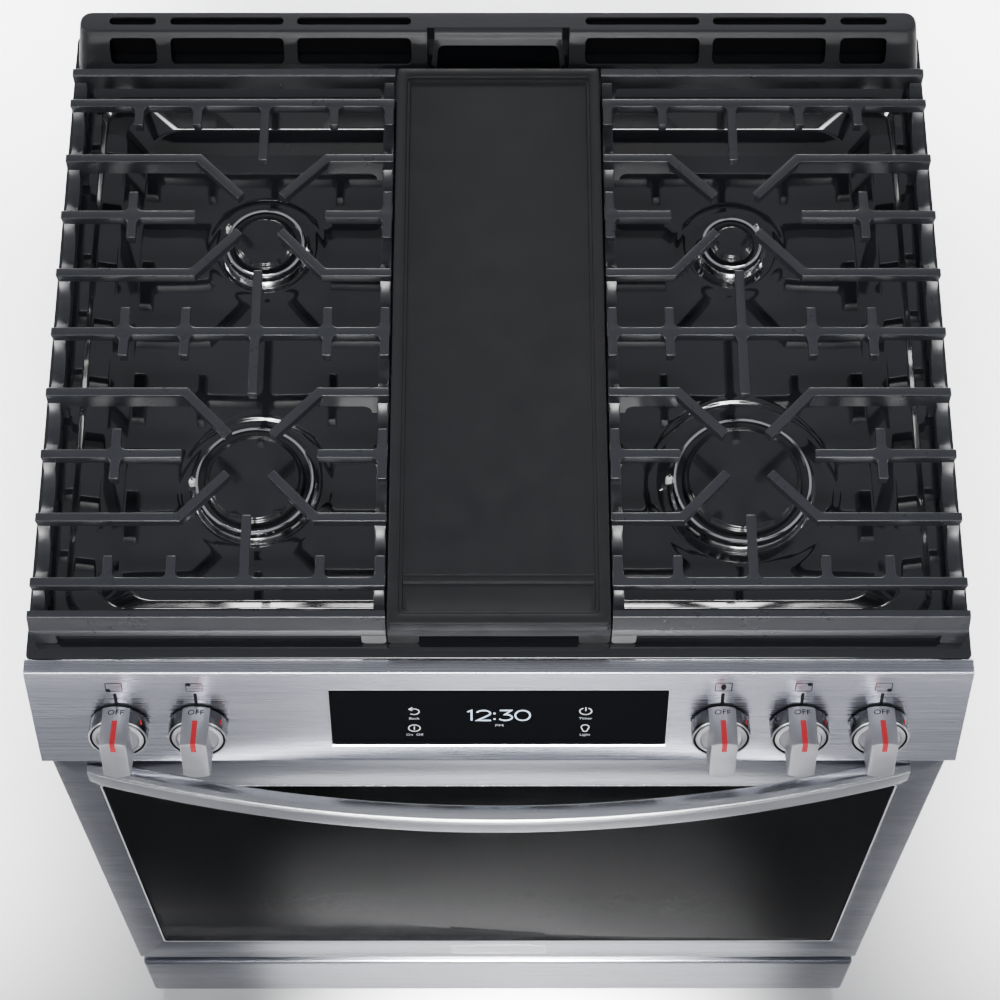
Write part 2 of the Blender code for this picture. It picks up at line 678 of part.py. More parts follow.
def cooktop():
    """One pressed sheet: a flat rim, a sloping step and a sunk floor with a hole for each burner."""
    top = [
        (COOKTOP_HALF, PANEL_BAND + GAP, BODY_BACK_Y, -0.0140, 0.0030),
        (COOKTOP_HALF, PANEL_BAND + GAP, BODY_BACK_Y, 0, 0.0030),
        (0.3500, 0.0480, 0.5500, 0, 0.0200),
        (0.3460, 0.0520, 0.5470, -0.0060, 0.0240),
        (0.3300, 0.0600, 0.5430, -0.0090, 0.0280),
        (0.3100, 0.0730, 0.5300, PAN_FLOOR_Z, 0.0300),
    ]
    rings = [cooktop_ring(half, front, back, z, radius) for half, front, back, z, radius in reversed(top[1:])]
    rings.append(cooktop_ring(*top[0]))
    under = [
        (COOKTOP_HALF - SHEET, PANEL_BAND + GAP + SHEET, BODY_BACK_Y - SHEET, -0.0140, 0.0020),
        (COOKTOP_HALF - SHEET, PANEL_BAND + GAP + SHEET, BODY_BACK_Y - SHEET, -SHEET, 0.0020),
        (0.3490, 0.0490, 0.5490, -SHEET, 0.0200),
        (0.3450, 0.0530, 0.5460, -0.0060 - SHEET, 0.0240),
        (0.3290, 0.0610, 0.5420, -0.0090 - SHEET, 0.0280),
        (0.3090, 0.0740, 0.5290, PAN_FLOOR_Z - SHEET, 0.0300),
    ]
    rings += [cooktop_ring(*ring) for ring in under]
    sheet = loft("cooktop", rings, "black_enamel")
    for face in sheet.data.polygons:
        face.flip()
    for x, y, *_ in BURNERS.values():
        cut(sheet, prism("burner_hole", circle(x, y, BURNER_HOLE, 20), "z", -0.0500, 0.0500))
    cut(sheet, prism("centre_burner_hole", oval(BURNER_HOLE, 0.0500, OVAL_Y, 20), "z", -0.0500, 0.0500))
    vent = box("vent_hole", (-0.3000, 0.3000), (0.5850, 0.6050), (-0.0500, 0.0500))
    return cut(sheet, vent)


def burners():
    """An aluminium head stands on the cooktop's floor over its hole, and a loose enamelled cap lies on it."""
    floor = PAN_FLOOR_Z + GAP
    for name, (x, y, ring_radius, cap_radius) in BURNERS.items():
        head = turned(
            "burner_head_" + name,
            [
                (BURNER_NECK, BURNER_NECK_Z),
                (BURNER_NECK, floor - 0.0001),
                (ring_radius - 0.0030, floor),
                (ring_radius - 0.0020, floor + 0.0040),
                (ring_radius, RING_TOP_Z - 0.0020),
                (ring_radius - 0.0010, RING_TOP_Z),
                (cap_radius - 0.0040, RING_TOP_Z + 0.0001),
            ],
            "burner_aluminium",
        )
        place(head, Matrix.Translation(from_crease(x, y, 0)))
        cap = turned(
            "burner_cap_" + name,
            [
                (cap_radius - 0.0015, RING_TOP_Z + 0.0001 + GAP),
                (cap_radius, RING_TOP_Z + 0.0018),
                (cap_radius - 0.0006, RING_TOP_Z + 0.0050),
                (cap_radius - 0.0040, RING_TOP_Z + 0.0066),
            ],
            "cap_enamel",
        )
        place(cap, Matrix.Translation(from_crease(x, y, 0)))
    head_levels = (
        (BURNER_NECK, 0.0480, BURNER_NECK_Z),
        (BURNER_NECK, 0.0480, floor - 0.0001),
        (OVAL_HALF_WIDTH - 0.0020, OVAL_HALF_LENGTH - 0.0020, floor),
        (OVAL_HALF_WIDTH, OVAL_HALF_LENGTH, RING_TOP_Z - 0.0020),
        (OVAL_HALF_WIDTH - 0.0010, OVAL_HALF_LENGTH - 0.0010, RING_TOP_Z),
    )
    cap_levels = (
        (OVAL_HALF_WIDTH - 0.0070, OVAL_HALF_LENGTH - 0.0070, RING_TOP_Z + GAP),
        (OVAL_HALF_WIDTH - 0.0060, OVAL_HALF_LENGTH - 0.0060, RING_TOP_Z + 0.0018),
        (OVAL_HALF_WIDTH - 0.0100, OVAL_HALF_LENGTH - 0.0100, RING_TOP_Z + 0.0066),
    )
    for name, levels, finish in (
        ("burner_head_centre", head_levels, "burner_aluminium"),
        ("burner_cap_centre", cap_levels, "cap_enamel"),
    ):
        rings = []
        for half_x, half_y, z in levels:
            rings.append([from_crease(x, y, z) for x, y in oval(half_x, half_y, OVAL_Y)])
        smooth(loft(name, rings, finish))


def beam(start, end, width, top, height):
    """A straight square bar between two plan points."""
    (x0, y0), (x1, y1) = start, end
    length = math.hypot(x1 - x0, y1 - y0)
    side_x, side_y = -(y1 - y0) / length * width / 2, (x1 - x0) / length * width / 2
    outline = [
        (x0 - side_x, y0 - side_y),
        (x1 - side_x, y1 - side_y),
        (x1 + side_x, y1 + side_y),
        (x0 + side_x, y0 + side_y),
    ]
    return prism("grate_bar", outline, "z", top - height, top)


def bar_y(number):
    """The place of a cross bar, numbered from 1 at the back to 9 at the front."""
    return FIRST_BAR_Y - (number - 1) * BAR_PITCH


def grate(name, side):
    """One cast grate: nine rows of bars and fingers over two burners, on rails and feet."""
    outer, inner = GRATE_OUTER_X, GRATE_INNER_X
    bars = []

    def bar(start, end, width=GRATE_BAR_WIDTH, top=GRATE_TOP_Z, height=GRATE_BAR_HEIGHT):
        mirrored = [(side * x, y) for x, y in (start, end)]
        bars.append(beam(mirrored[0], mirrored[1], width, top, height))

    bar((outer, 0.5498), (inner, 0.5498), width=0.0082, height=0.0180)
    bar((outer, 0.0313), (inner, 0.0313), width=0.0116, height=0.0250)
    for rail in (outer - 0.0080, inner + 0.0080):
        bar((rail, 0.0300), (rail, 0.5500), top=GRATE_TOP_Z - 0.0100, height=0.0120)
    for number in (1, 5, 9):
        bar((outer, bar_y(number)), (inner, bar_y(number)))
    for number in (2, 4, 6, 8):
        y = bar_y(number)
        burner_y = REAR_BURNER_Y if number < 5 else FRONT_BURNER_Y
        for end, burner_side in ((outer, 1), (inner, -1)):
            bend = BURNER_X + burner_side * FINGER_BEND
            tip = (BURNER_X + burner_side * FINGER_TIP, burner_y + math.copysign(FINGER_TIP, y - burner_y))
            bar((end, y), (bend - burner_side * 0.0020, y))
            bar((bend, y), tip)
    for number in (3, 7):
        y = bar_y(number)
        bar((outer, y), (BURNER_X + FINGER_BEND, y))
        bar((inner, y), (BURNER_X - FINGER_BEND, y))
        for x in (BURNER_X + TOOTH_OFFSETS[0], BURNER_X + TOOTH_OFFSETS[-1]):
            bar((x, y - SHORT_TOOTH), (x, y + SHORT_TOOTH))
    for offset in TOOTH_OFFSETS:
        x = BURNER_X + offset
        reach = SHORT_TOOTH if offset else LONG_TOOTH
        bar((x, bar_y(1) + 0.0020), (x, bar_y(1) - reach))
        bar((x, bar_y(5) - reach), (x, bar_y(5) + reach))
        bar((x, bar_y(9) - 0.0020), (x, bar_y(9) + reach))
    for rail in (outer - 0.0080, inner + 0.0080):
        floor = GAP if rail > 0.3300 else PAN_FLOOR_Z + GAP
        for y in (0.0980, 0.2900, 0.4900):
            ends = ((side * rail, y - FOOT_HALF), (side * rail, y + FOOT_HALF))
            bars.append(beam(*ends, 0.0080, FOOT_TOP_Z, FOOT_TOP_Z - floor))
        for y, width in ((0.0310, 0.0110), (0.5515, 0.0050)):
            ends = ((side * (rail - FOOT_HALF), y), (side * (rail + FOOT_HALF), y))
            bars.append(beam(*ends, width, FOOT_TOP_Z, FOOT_TOP_Z - GAP))
    return merged(name, bars, "grate_iron")


def griddle():
    """A cast plate with a raised rim, a ridge and a grease trough across its front."""
    half = GRIDDLE_HALF
    sides = (GRATE_FRONT_Y, GRATE_REAR_Y)
    plate = box("griddle", (-half, half), sides, (0.0270, GRATE_TOP_Z), "griddle_iron")
    inner = (-half + GRIDDLE_RIM, half - GRIDDLE_RIM)
    cut(plate, box("griddle_face", inner, (0.0720, GRATE_REAR_Y - GRIDDLE_RIM), (0.0366, 0.0500)))
    cut(plate, box("grease_trough", inner, (0.0400, 0.0660), (0.0336, 0.0500)))
    for y in ((GRATE_FRONT_Y, 0.0370), (0.5489, GRATE_REAR_Y)):
        for side in (-1, 1):
            xs = sorted((side * half, side * (half - 0.0190)))
            fuse(plate, box("griddle_foot", xs, y, (GAP, 0.0300)))
    return plate


def vent_trim():
    """The raised vent along the back, hollow from below, slotted in its top and its sloping front."""
    outline = [
        (TRIM_FRONT_FOOT_Y, GAP),
        (0.5770, 0.0100),
        (TRIM_FRONT_TOP_Y, TRIM_TOP_Z),
        (0.6160, TRIM_TOP_Z),
        (0.6160, GAP),
    ]
    trim = prism("vent_trim", outline, "x", -TRIM_HALF, TRIM_HALF, "black_enamel")
    hollow = [(0.5760, -0.0100), (0.5800, 0.0110), (0.5960, 0.0360), (0.6140, 0.0360), (0.6140, -0.0100)]
    cut(trim, prism("trim_hollow", hollow, "x", -TRIM_HALF + 0.0020, TRIM_HALF - 0.0020))
    slots = ((0.3030, 0.3443), (0.1900, 0.2905), (0.0771, 0.1783))
    for side in (-1, 1):
        for low, high in slots:
            xs = sorted((side * low, side * high))
            cut(trim, box("top_slot", xs, (0.6020, 0.6100), (0.0300, 0.0500)))
            front = [(0.5700, 0.0125), (0.5940, 0.0125), (0.6050, 0.0330), (0.5700, 0.0330)]
            cut(trim, prism("front_slot", front, "x", *xs))
    hood = [(0.5700, 0.0120), (0.5940, 0.0120), (0.6030, 0.0280), (0.5700, 0.0280)]
    return cut(trim, prism("hood_opening", hood, "x", -0.0580, 0.0580))


# ---------------------------------------------------------------------------- door and drawer
def handle_y(x):
    """The front of the bowed handle at a place along it."""
    return HANDLE_END_FRONT_Y - HANDLE_BOW * (1 - (x / HANDLE_HALF) ** 2)


def door_handle():
    """A bar bowed forwards, whose ends turn back to the door's face."""
    stations = [HANDLE_HALF * step / 12 for step in range(-12, 13)]
    front = [(x, handle_y(x)) for x in stations]
    back = [(x, min(handle_y(x) + HANDLE_DEPTH, DOOR_FACE_Y - GAP)) for x in reversed(stations)]
    back[0] = (HANDLE_HALF, DOOR_FACE_Y - GAP)
    back[-1] = (-HANDLE_HALF, DOOR_FACE_Y - GAP)
    outline = front + back
    return prism("door_handle", outline, "z", HANDLE_TOP_Z - HANDLE_HEIGHT, HANDLE_TOP_Z, "stainless")


def door_parts():
    """Skin, two panes, liner with hinge ears, and the gasket round the mouth."""
    face, back_of_skin = DOOR_FACE_Y, 0.0010
    door_z = (DOOR_BOTTOM_Z, DOOR_TOP_Z)
    skin = box("door_skin", (-DOOR_HALF, DOOR_HALF), (face, back_of_skin), door_z, "stainless")
    wall = PANEL_WALL
    inner_x = (-DOOR_HALF + wall, DOOR_HALF - wall)
    inner_z = (DOOR_BOTTOM_Z + wall, DOOR_TOP_Z - wall)
    cut(skin, box("skin_hollow", inner_x, (face + wall, 0.0100), inner_z))
    lip = 0.0080
    lip_x = (-WINDOW_HALF - 0.0060, WINDOW_HALF + 0.0060)
    lip_z = (WINDOW_BOTTOM_Z - 0.0060, WINDOW_TOP_Z + 0.0060)
    fuse(skin, box("window_ledge", lip_x, (face + 0.0010, face + 0.0070), lip_z))
    open_x = (-WINDOW_HALF + lip, WINDOW_HALF - lip)
    open_z = (WINDOW_BOTTOM_Z + lip, WINDOW_TOP_Z - lip)
    cut(skin, box("window_opening", open_x, (-0.0500, 0.0100), open_z))
    seat_y = face + 0.0050
    seat_z = (WINDOW_BOTTOM_Z, WINDOW_TOP_Z)
    cut(skin, box("glass_seat", (-WINDOW_HALF, WINDOW_HALF), (-0.0500, seat_y), seat_z))

    pane_x = (-WINDOW_HALF + GAP, WINDOW_HALF - GAP)
    pane_z = (WINDOW_BOTTOM_Z + GAP, WINDOW_TOP_Z - GAP)
    outer = box("door_outer_glass", pane_x, (face + 0.0006, seat_y - GAP), pane_z, "dark_glass")

    liner_half = DOOR_HALF - wall - GAP
    liner_z = (DOOR_BOTTOM_Z + wall + GAP, DOOR_TOP_Z - wall - GAP)
    liner = box("door_liner", (-liner_half, liner_half), (-0.0195, DOOR_BACK_Y), liner_z, "oven_enamel")
    tray_z = (liner_z[0] + SHEET, liner_z[1] - SHEET)
    cut(liner, box("liner_hollow", (-liner_half + SHEET, liner_half - SHEET), (-0.0300, 0.0120), tray_z))
    cut(liner, box("liner_window", (-0.2750, 0.2750), (0, 0.0300), (-0.5900, -0.2300)))
    inner = box("door_inner_glass", (-0.2850, 0.2850), (0.0077, 0.0117), (-0.6000, -0.2200), "clear_glass")

    for side in (-1, 1):
        for near, far in ((-0.0095, -0.0055), (0.0055, 0.0095)):
            xs = sorted((side * (HINGE_X + near), side * (HINGE_X + far)))
            ear = box("hinge_ear", xs, (-0.0100, 0.0130), (liner_z[0] + 0.0005, HINGE_Z + 0.0100))
            fuse(liner, ear)
        xs = sorted((side * (HINGE_X - 0.0100), side * (HINGE_X + 0.0100)))
        bore = prism("hinge_bore", circle(HINGE_Y, HINGE_Z, HINGE_PIN_RADIUS + 0.0001, 24), "x", *xs)
        cut(liner, bore)
        slot_x = sorted((side * (HINGE_X - 0.0050), side * (HINGE_X + 0.0050)))
        slot = box("arm_slot", slot_x, (-0.0110, 0.0300), (DOOR_BOTTOM_Z - 0.0100, HINGE_Z + 0.0110))
        cut(liner, slot)
        cut(skin, slot)

    centre_z = (CAVITY_TOP_Z + CAVITY_FLOOR_Z) / 2
    half_z = (CAVITY_TOP_Z - CAVITY_FLOOR_Z) / 2 + 0.0120
    ring = rounded(CAVITY_HALF + 0.0120, centre_z - half_z, centre_z + half_z, 0.0250)
    gasket = tube("door_gasket", [(x, 0.0183, z) for x, z in ring], 0.0038, "gasket_fibre", closed=True)
    return skin, outer, liner, inner, gasket


def hinge_arms():
    """Each arm hooks through the front frame and carries the pin that the door turns on."""
    for side, name in ((-1, "left_hinge_arm"), (1, "right_hinge_arm")):
        xs = sorted((side * (HINGE_X - 0.0020), side * (HINGE_X + 0.0020)))
        outline = [(0.0600, HINGE_Z - ARM_HALF_HEIGHT), (0.0600, HINGE_Z + ARM_HALF_HEIGHT)]
        for degrees in range(90, 271, 30):
            angle = math.radians(degrees)
            y = HINGE_Y + ARM_HALF_HEIGHT * math.cos(angle)
            outline.append((y, HINGE_Z + ARM_HALF_HEIGHT * math.sin(angle)))
        arm = prism(name, outline, "x", xs[0], xs[1], "galvanised")
        pin_xs = sorted((side * (HINGE_X - 0.0090), side * (HINGE_X + 0.0090)))
        fuse(arm, prism("hinge_pin", circle(HINGE_Y, HINGE_Z, HINGE_PIN_RADIUS, 24), "x", *pin_xs))


def door():
    skin, outer, liner, inner, gasket = door_parts()
    handle = door_handle()
    hinge_arms()
    hang(pivot("door_axis", from_crease(0, HINGE_Y, HINGE_Z)), skin, outer, liner, inner, gasket, handle)


def drawer():
    """A stainless front on a steel pan, whose runners slide in two rails."""
    face = DOOR_FACE_Y
    back = face + DRAWER_FRONT_DEPTH
    wall = PANEL_WALL
    front_z = (DRAWER_BOTTOM_Z, DRAWER_TOP_Z)
    front = box("drawer_front", (-DRAWER_HALF, DRAWER_HALF), (face, back), front_z, "stainless")
    hollow_x = (-DRAWER_HALF + wall, DRAWER_HALF - wall)
    hollow_z = (DRAWER_BOTTOM_Z + wall, DRAWER_TOP_Z - wall)
    cut(front, box("front_hollow", hollow_x, (face + wall, 0.0300), hollow_z))

    half = DRAWER_PAN_HALF
    pan_y = (back + GAP, DRAWER_PAN_BACK_Y)
    pan_z = (-0.8450, -0.7620)
    pan = box("drawer_pan", (-half, half), pan_y, pan_z, "galvanised")
    inside_y = (pan_y[0] + SHEET, pan_y[1] - SHEET)
    cut(pan, box("pan_hollow", (-half + SHEET, half - SHEET), inside_y, (pan_z[0] + SHEET, -0.7500)))
    mount_z = (DRAWER_BOTTOM_Z + 0.0030, DRAWER_TOP_Z - 0.0030)
    fuse(pan, box("pan_front_plate", (-0.3700, 0.3700), (pan_y[0], pan_y[0] + SHEET), mount_z))
    for side in (-1, 1):
        runner_x = sorted((side * (half - 0.0010), side * (half + 0.0170)))
        runner = box("runner", runner_x, (0.0350, DRAWER_PAN_BACK_Y), (RUNNER_Z - 0.0040, RUNNER_Z + 0.0040))
        fuse(pan, runner)

        outer = side * (BODY_HALF - SHEET - GAP)
        near = side * (half + 0.0030)
        rail_name = "left_drawer_rail" if side < 0 else "right_drawer_rail"
        rail_z = (RUNNER_Z - 0.0120, RUNNER_Z + 0.0120)
        rail = box(rail_name, sorted((near, outer)), (0.0300, 0.5400), rail_z, "galvanised")
        groove_x = sorted((side * (half - 0.0100), side * (half + 0.0200)))
        cut(rail, box("rail_groove", groove_x, (0.0200, 0.5500), (RUNNER_Z - 0.0055, RUNNER_Z + 0.0055)))
    hang(pivot("drawer_axis", from_crease(0, face, DRAWER_TOP_Z)), front, pan)


def build():
    side_panels()
    rear_panel()
    base_pan()
    leveling_legs()
    oven_cavity()
    front_frame()
    oven_insides()
    convection_fan()
    for name, level in RACKS.items():
        oven_rack(name, level)
    gas_parts()
    control_panel()
    display()
    knobs_and_stems()
    cooktop()
    burners()
    grate("left_grate", -1)
    grate("right_grate", 1)
    griddle()
    vent_trim()
    door()
    drawer()


clear_scene()
MATERIALS = make_materials()
build()
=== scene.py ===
"""The looks of a 30 inch front-control gas range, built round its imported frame, in metres, +Z up.

Places are given from the crease of the control panel, the long edge where its narrow top band turns
into its sloping face: x to the user's right, y backwards from the crease, z up from the cooktop.
"""

import math

import bmesh
import bpy
from mathutils import Matrix, Vector
from mathutils.geometry import delaunay_2d_cdt


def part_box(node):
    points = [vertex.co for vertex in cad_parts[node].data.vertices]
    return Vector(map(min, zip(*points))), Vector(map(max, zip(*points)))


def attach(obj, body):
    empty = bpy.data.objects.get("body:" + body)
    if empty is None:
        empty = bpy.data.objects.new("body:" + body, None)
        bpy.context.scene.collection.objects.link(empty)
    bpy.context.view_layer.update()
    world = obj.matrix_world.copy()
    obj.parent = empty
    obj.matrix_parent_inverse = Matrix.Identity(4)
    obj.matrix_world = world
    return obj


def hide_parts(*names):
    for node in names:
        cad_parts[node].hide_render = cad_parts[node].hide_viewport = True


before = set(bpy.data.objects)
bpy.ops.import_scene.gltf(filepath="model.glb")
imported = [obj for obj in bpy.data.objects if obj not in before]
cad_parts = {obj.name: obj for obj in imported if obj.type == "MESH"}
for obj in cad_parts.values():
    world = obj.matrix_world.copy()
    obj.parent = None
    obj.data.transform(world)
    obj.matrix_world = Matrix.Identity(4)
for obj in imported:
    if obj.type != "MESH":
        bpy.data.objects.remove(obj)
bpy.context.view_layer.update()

# ---------------------------------------------------------------------------- places in the frame
GAP = 0.0003
PANEL_BAND = 0.0125
PANEL_SLOPE = math.radians(16.5)
CREASE_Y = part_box("cooktop")[0].y - PANEL_BAND - GAP
COOKTOP_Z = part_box("cooktop")[1].z
ORIGIN = Vector((0, CREASE_Y, COOKTOP_Z))


def span(node):
    """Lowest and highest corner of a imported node, from the crease."""
    low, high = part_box(node)
    return low - ORIGIN, high - ORIGIN


def centre_of(node):
    """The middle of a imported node, seen from above."""
    low, high = span(node)
    return (low.x + high.x) / 2, (low.y + high.y) / 2


KNOBS = ("left_front", "left_rear", "centre", "right_rear", "right_front")
BURNERS = ("left_front", "left_rear", "right_front", "right_rear")


# ---------------------------------------------------------------------------- materials
def shader_of(name, colour, roughness, metallic=0.0, **sockets):
    """A new material on a Principled shader; in the sockets' names _ stands for a space."""
    material = bpy.data.materials.new(name)
    material.use_nodes = True
    shader = material.node_tree.nodes["Principled BSDF"]
    shader.inputs["Base Color"].default_value = (*colour, 1)
    shader.inputs["Roughness"].default_value = roughness
    shader.inputs["Metallic"].default_value = metallic
    for socket, value in sockets.items():
        shader.inputs[socket.replace("_", " ")].default_value = value
    return material


def wired(owner, kind, **inputs):
    """A new node; each input gets a number or another node's output, and _ stands for a space."""
    node = owner.node_tree.nodes.new(kind)
    for name, value in inputs.items():
        socket = node.inputs[name.replace("_", " ")]
        if isinstance(value, bpy.types.NodeSocket):
            owner.node_tree.links.new(value, socket)
        else:
            socket.default_value = value
    return node


def drive(material, output, socket):
    """Sends an output to a socket of the material's shader."""
    shader = material.node_tree.nodes["Principled BSDF"]
    material.node_tree.links.new(output, shader.inputs[socket])


def noise(material, scale, detail=3.0, stretch=(1, 1, 1)):
    """The value of a noise texture in the piece's own coordinates."""
    place = wired(material, "ShaderNodeTexCoord")
    mapping = wired(material, "ShaderNodeMapping", Vector=place.outputs["Object"], Scale=stretch)
    spot = mapping.outputs["Vector"]
    return wired(material, "ShaderNodeTexNoise", Vector=spot, Scale=scale, Detail=detail).outputs["Fac"]


def cells(material, scale):
    """The distance to the nearest of many scattered points, which draws cells."""
    place = wired(material, "ShaderNodeTexCoord")
    texture = wired(material, "ShaderNodeTexVoronoi", Vector=place.outputs["Object"], Scale=scale)
    return texture.outputs["Distance"]


LOW, HIGH = 0.3, 0.7  # a noise's value lies between these nearly everywhere


def ramp(material, value, dark, light):
    """A colour that runs from one shade to another along a value."""
    node = wired(material, "ShaderNodeValToRGB", Fac=value)
    for element, place, shade in zip(node.color_ramp.elements, (LOW, HIGH), (dark, light)):
        element.position = place
        element.color = (*shade, 1)
    return node.outputs["Color"]


def spread(material, value, socket, low, high):
    """Sends a value to a shader socket, stretched from low to high."""
    limits = {"From_Min": LOW, "From_Max": HIGH, "To_Min": low, "To_Max": high}
    drive(material, wired(material, "ShaderNodeMapRange", Value=value, **limits).outputs["Result"], socket)


def bump(material, value, strength, distance=0.0002):
    """Raises the surface by a value, in the shading only."""
    node = wired(material, "ShaderNodeBump", Height=value, Strength=strength, Distance=distance)
    drive(material, node.outputs["Normal"], "Normal")


def tinted(material, value, dark, light):
    """Colour that drifts between two shades with a value."""
    drive(material, ramp(material, value, dark, light), "Base Color")


def painted_side_shade(material, value, share, half=0.37):
    """Mixes a value with painted shade: a tone that is light in the middle of the range and falls dark
    towards its sides.
    """
    place = wired(material, "ShaderNodeTexCoord")
    parts = wired(material, "ShaderNodeSeparateXYZ", Vector=place.outputs["Object"])
    away = wired(material, "ShaderNodeMath")
    away.operation = "ABSOLUTE"
    material.node_tree.links.new(parts.outputs["X"], away.inputs[0])
    limits = {"From_Max": half, "To_Min": 0.72, "To_Max": 0.28}
    fall = wired(material, "ShaderNodeMapRange", Value=away.outputs["Value"], **limits)
    fall.interpolation_type = "SMOOTHSTEP"
    return wired(material, "ShaderNodeMix", Factor=share, A=value, B=fall.outputs["Result"]).outputs["Result"]


def brushed_steel(name, dark, light, rough=(0.2, 0.34), along=(1.5, 260, 260), strength=0.1, share=0.0):
    """Stainless sheet with fine parallel scratches; they run where along is smallest. With a share, its
    colour also darkens from the middle of the range to its sides as painted shade.
    """
    material = shader_of(name, light, rough[0], 1.0)
    scratches = noise(material, 6.0, 4.0, along)
    patches = noise(material, 2.2, 2.0, tuple(s ** 0.5 for s in along))
    # Painted shade: with a share the colour falls from the middle of the range to its sides.
    tinted(material, painted_side_shade(material, patches, share) if share else patches, dark, light)
    spread(material, scratches, "Roughness", *rough)
    bump(material, scratches, strength, 0.0001)
    return material


def enamel(name, dark, light, rough=(0.05, 0.11), coat=0.6, specular=0.5):
    """Fired gloss enamel: nearly flat, with a slight orange peel and faint speckle."""
    material = shader_of(
        name, light, rough[0], 0.0, Coat_Weight=coat, Coat_Roughness=0.03, Specular_IOR_Level=specular
    )
    tinted(material, noise(material, 900.0, 2.0), dark, light)
    spread(material, noise(material, 14.0, 3.0), "Roughness", *rough)
    bump(material, noise(material, 160.0, 2.0), 0.04, 0.0001)
    return material


def cast_iron(name, dark, light, rough, strength=0.35, specular=0.5):
    """Sand-cast iron under matt enamel: an even fine grain with slow changes of tone."""
    material = shader_of(name, light, rough[0], 0.0, Specular_IOR_Level=specular)
    tinted(material, noise(material, 35.0, 5.0), dark, light)
    spread(material, noise(material, 60.0, 4.0), "Roughness", *rough)
    bump(material, noise(material, 1400.0, 3.0), strength, 0.00015)
    return material


def plain_metal(name, dark, light, rough, scale=40.0, strength=0.05):
    """Plated, cast or polished metal with an even grain."""
    material = shader_of(name, light, rough[0], 1.0)
    grain = noise(material, scale, 4.0)
    tinted(material, grain, dark, light)
    spread(material, noise(material, scale * 6, 3.0), "Roughness", *rough)
    bump(material, grain, strength, 0.0001)
    return material


def zinc_sheet(name):
    """Galvanised sheet: crystals of slightly different grey and gloss."""
    material = shader_of(name, (0.5, 0.51, 0.53), 0.4, 1.0)
    crystals = cells(material, 90.0)
    tinted(material, crystals, (0.46, 0.47, 0.49), (0.52, 0.53, 0.55))
    spread(material, crystals, "Roughness", 0.38, 0.44)
    bump(material, noise(material, 300.0, 2.0), 0.05, 0.0001)
    return material


def matt(name, dark, light, rough, scale=300.0, strength=0.15, specular=0.5):
    """Moulded plastic, paint, board or fibre, told apart by colour and grain."""
    material = shader_of(name, light, rough[0], Specular_IOR_Level=specular)
    grain = noise(material, scale, 4.0)
    tinted(material, grain, dark, light)
    spread(material, noise(material, scale / 8, 3.0), "Roughness", *rough)
    bump(material, grain, strength, 0.0002)
    return material


def glass(name, tint, rough=0.02, transmission=1.0, bending=1.45):
    """Tinted pane, very slightly smeared; bending is its index of refraction."""
    material = shader_of(name, tint, rough, 0.0, IOR=bending, Transmission_Weight=transmission)
    smear = noise(material, 7.0, 4.0, (1, 0.4, 1))
    darker = tuple(0.86 * channel for channel in tint)
    tinted(material, smear, darker, tint)
    return material


def glowing(name, colour, strength):
    """A lit mark behind glass, slightly uneven as a real light guide is."""
    material = shader_of(name, colour, 0.4, 0.0, Emission_Strength=strength)
    dimmer = tuple(0.85 * channel for channel in colour)
    drive(material, ramp(material, noise(material, 120.0, 2.0), dimmer, colour), "Emission Color")
    return material


def woven(name):
    """Braided glass-fibre rope."""
    material = shader_of(name, (0.2, 0.2, 0.21), 0.85)
    strands = cells(material, 500.0)
    tinted(material, strands, (0.24, 0.24, 0.25), (0.1, 0.1, 0.11))
    bump(material, strands, 0.6, 0.0006)
    return material


# The sheet, door and handle steels carry painted shade and reflection: darker at the range's sides, lighter
# in the middle, most of all on the door, drawer and handle.
STEEL = brushed_steel("brushed_steel", (0.395, 0.4, 0.455), (0.475, 0.48, 0.53), strength=0.05, share=0.3)
DOOR_STEEL = brushed_steel(
    "door_steel", (0.13, 0.135, 0.16), (0.66, 0.67, 0.72), (0.22, 0.32), strength=0.05, share=0.88
)
HANDLE_STEEL = brushed_steel("handle_steel", (0.38, 0.385, 0.41), (0.76, 0.77, 0.79), (0.16, 0.26), share=0.8)
KNOB_STEEL = brushed_steel(
    "knob_steel", (0.4, 0.4, 0.425), (0.52, 0.52, 0.545), (0.3, 0.4), (260, 5, 260), 0.06
)
# A darker copy of the knob steel for the skirts: painted shade under the grip.
SHADED_SKIRT_STEEL = plain_metal("shaded_skirt_steel", (0.16, 0.165, 0.175), (0.24, 0.245, 0.255), (0.18, 0.26), 60.0, 0.02)
POLISHED = plain_metal("polished_edge", (0.8, 0.8, 0.82), (0.88, 0.88, 0.9), (0.08, 0.14))
TRIM_ENAMEL = matt(
    "trim_enamel", (0.0185, 0.019, 0.0215), (0.0205, 0.021, 0.0235), (0.34, 0.38), 900.0, 0.0, 0.35
)
BLACK_ENAMEL = enamel("black_enamel", (0.006, 0.0065, 0.008), (0.01, 0.011, 0.013))
# Cap enamel, also used as painted shade on the burner rings' flame ports and wells.
CAP_ENAMEL_AND_PORT_SHADE = enamel("cap_enamel", (0.009, 0.0095, 0.011), (0.011, 0.0115, 0.013), (0.14, 0.18), 0.2)
OVEN_ENAMEL = matt("oven_enamel", (0.024, 0.026, 0.034), (0.048, 0.05, 0.06), (0.22, 0.3), 1800.0, 0.02)
GRATE_IRON = cast_iron(
    "grate_iron", (0.014, 0.0148, 0.018), (0.0165, 0.0175, 0.021), (0.27, 0.31), strength=0.08
)
GRIDDLE_IRON = cast_iron(
    "griddle_iron", (0.0072, 0.0074, 0.0086), (0.009, 0.0092, 0.0106), (0.46, 0.56), specular=0.2
)
ALUMINIUM = plain_metal("burner_aluminium", (0.74, 0.74, 0.76), (0.82, 0.82, 0.84), (0.1, 0.16), 40.0, 0.0)
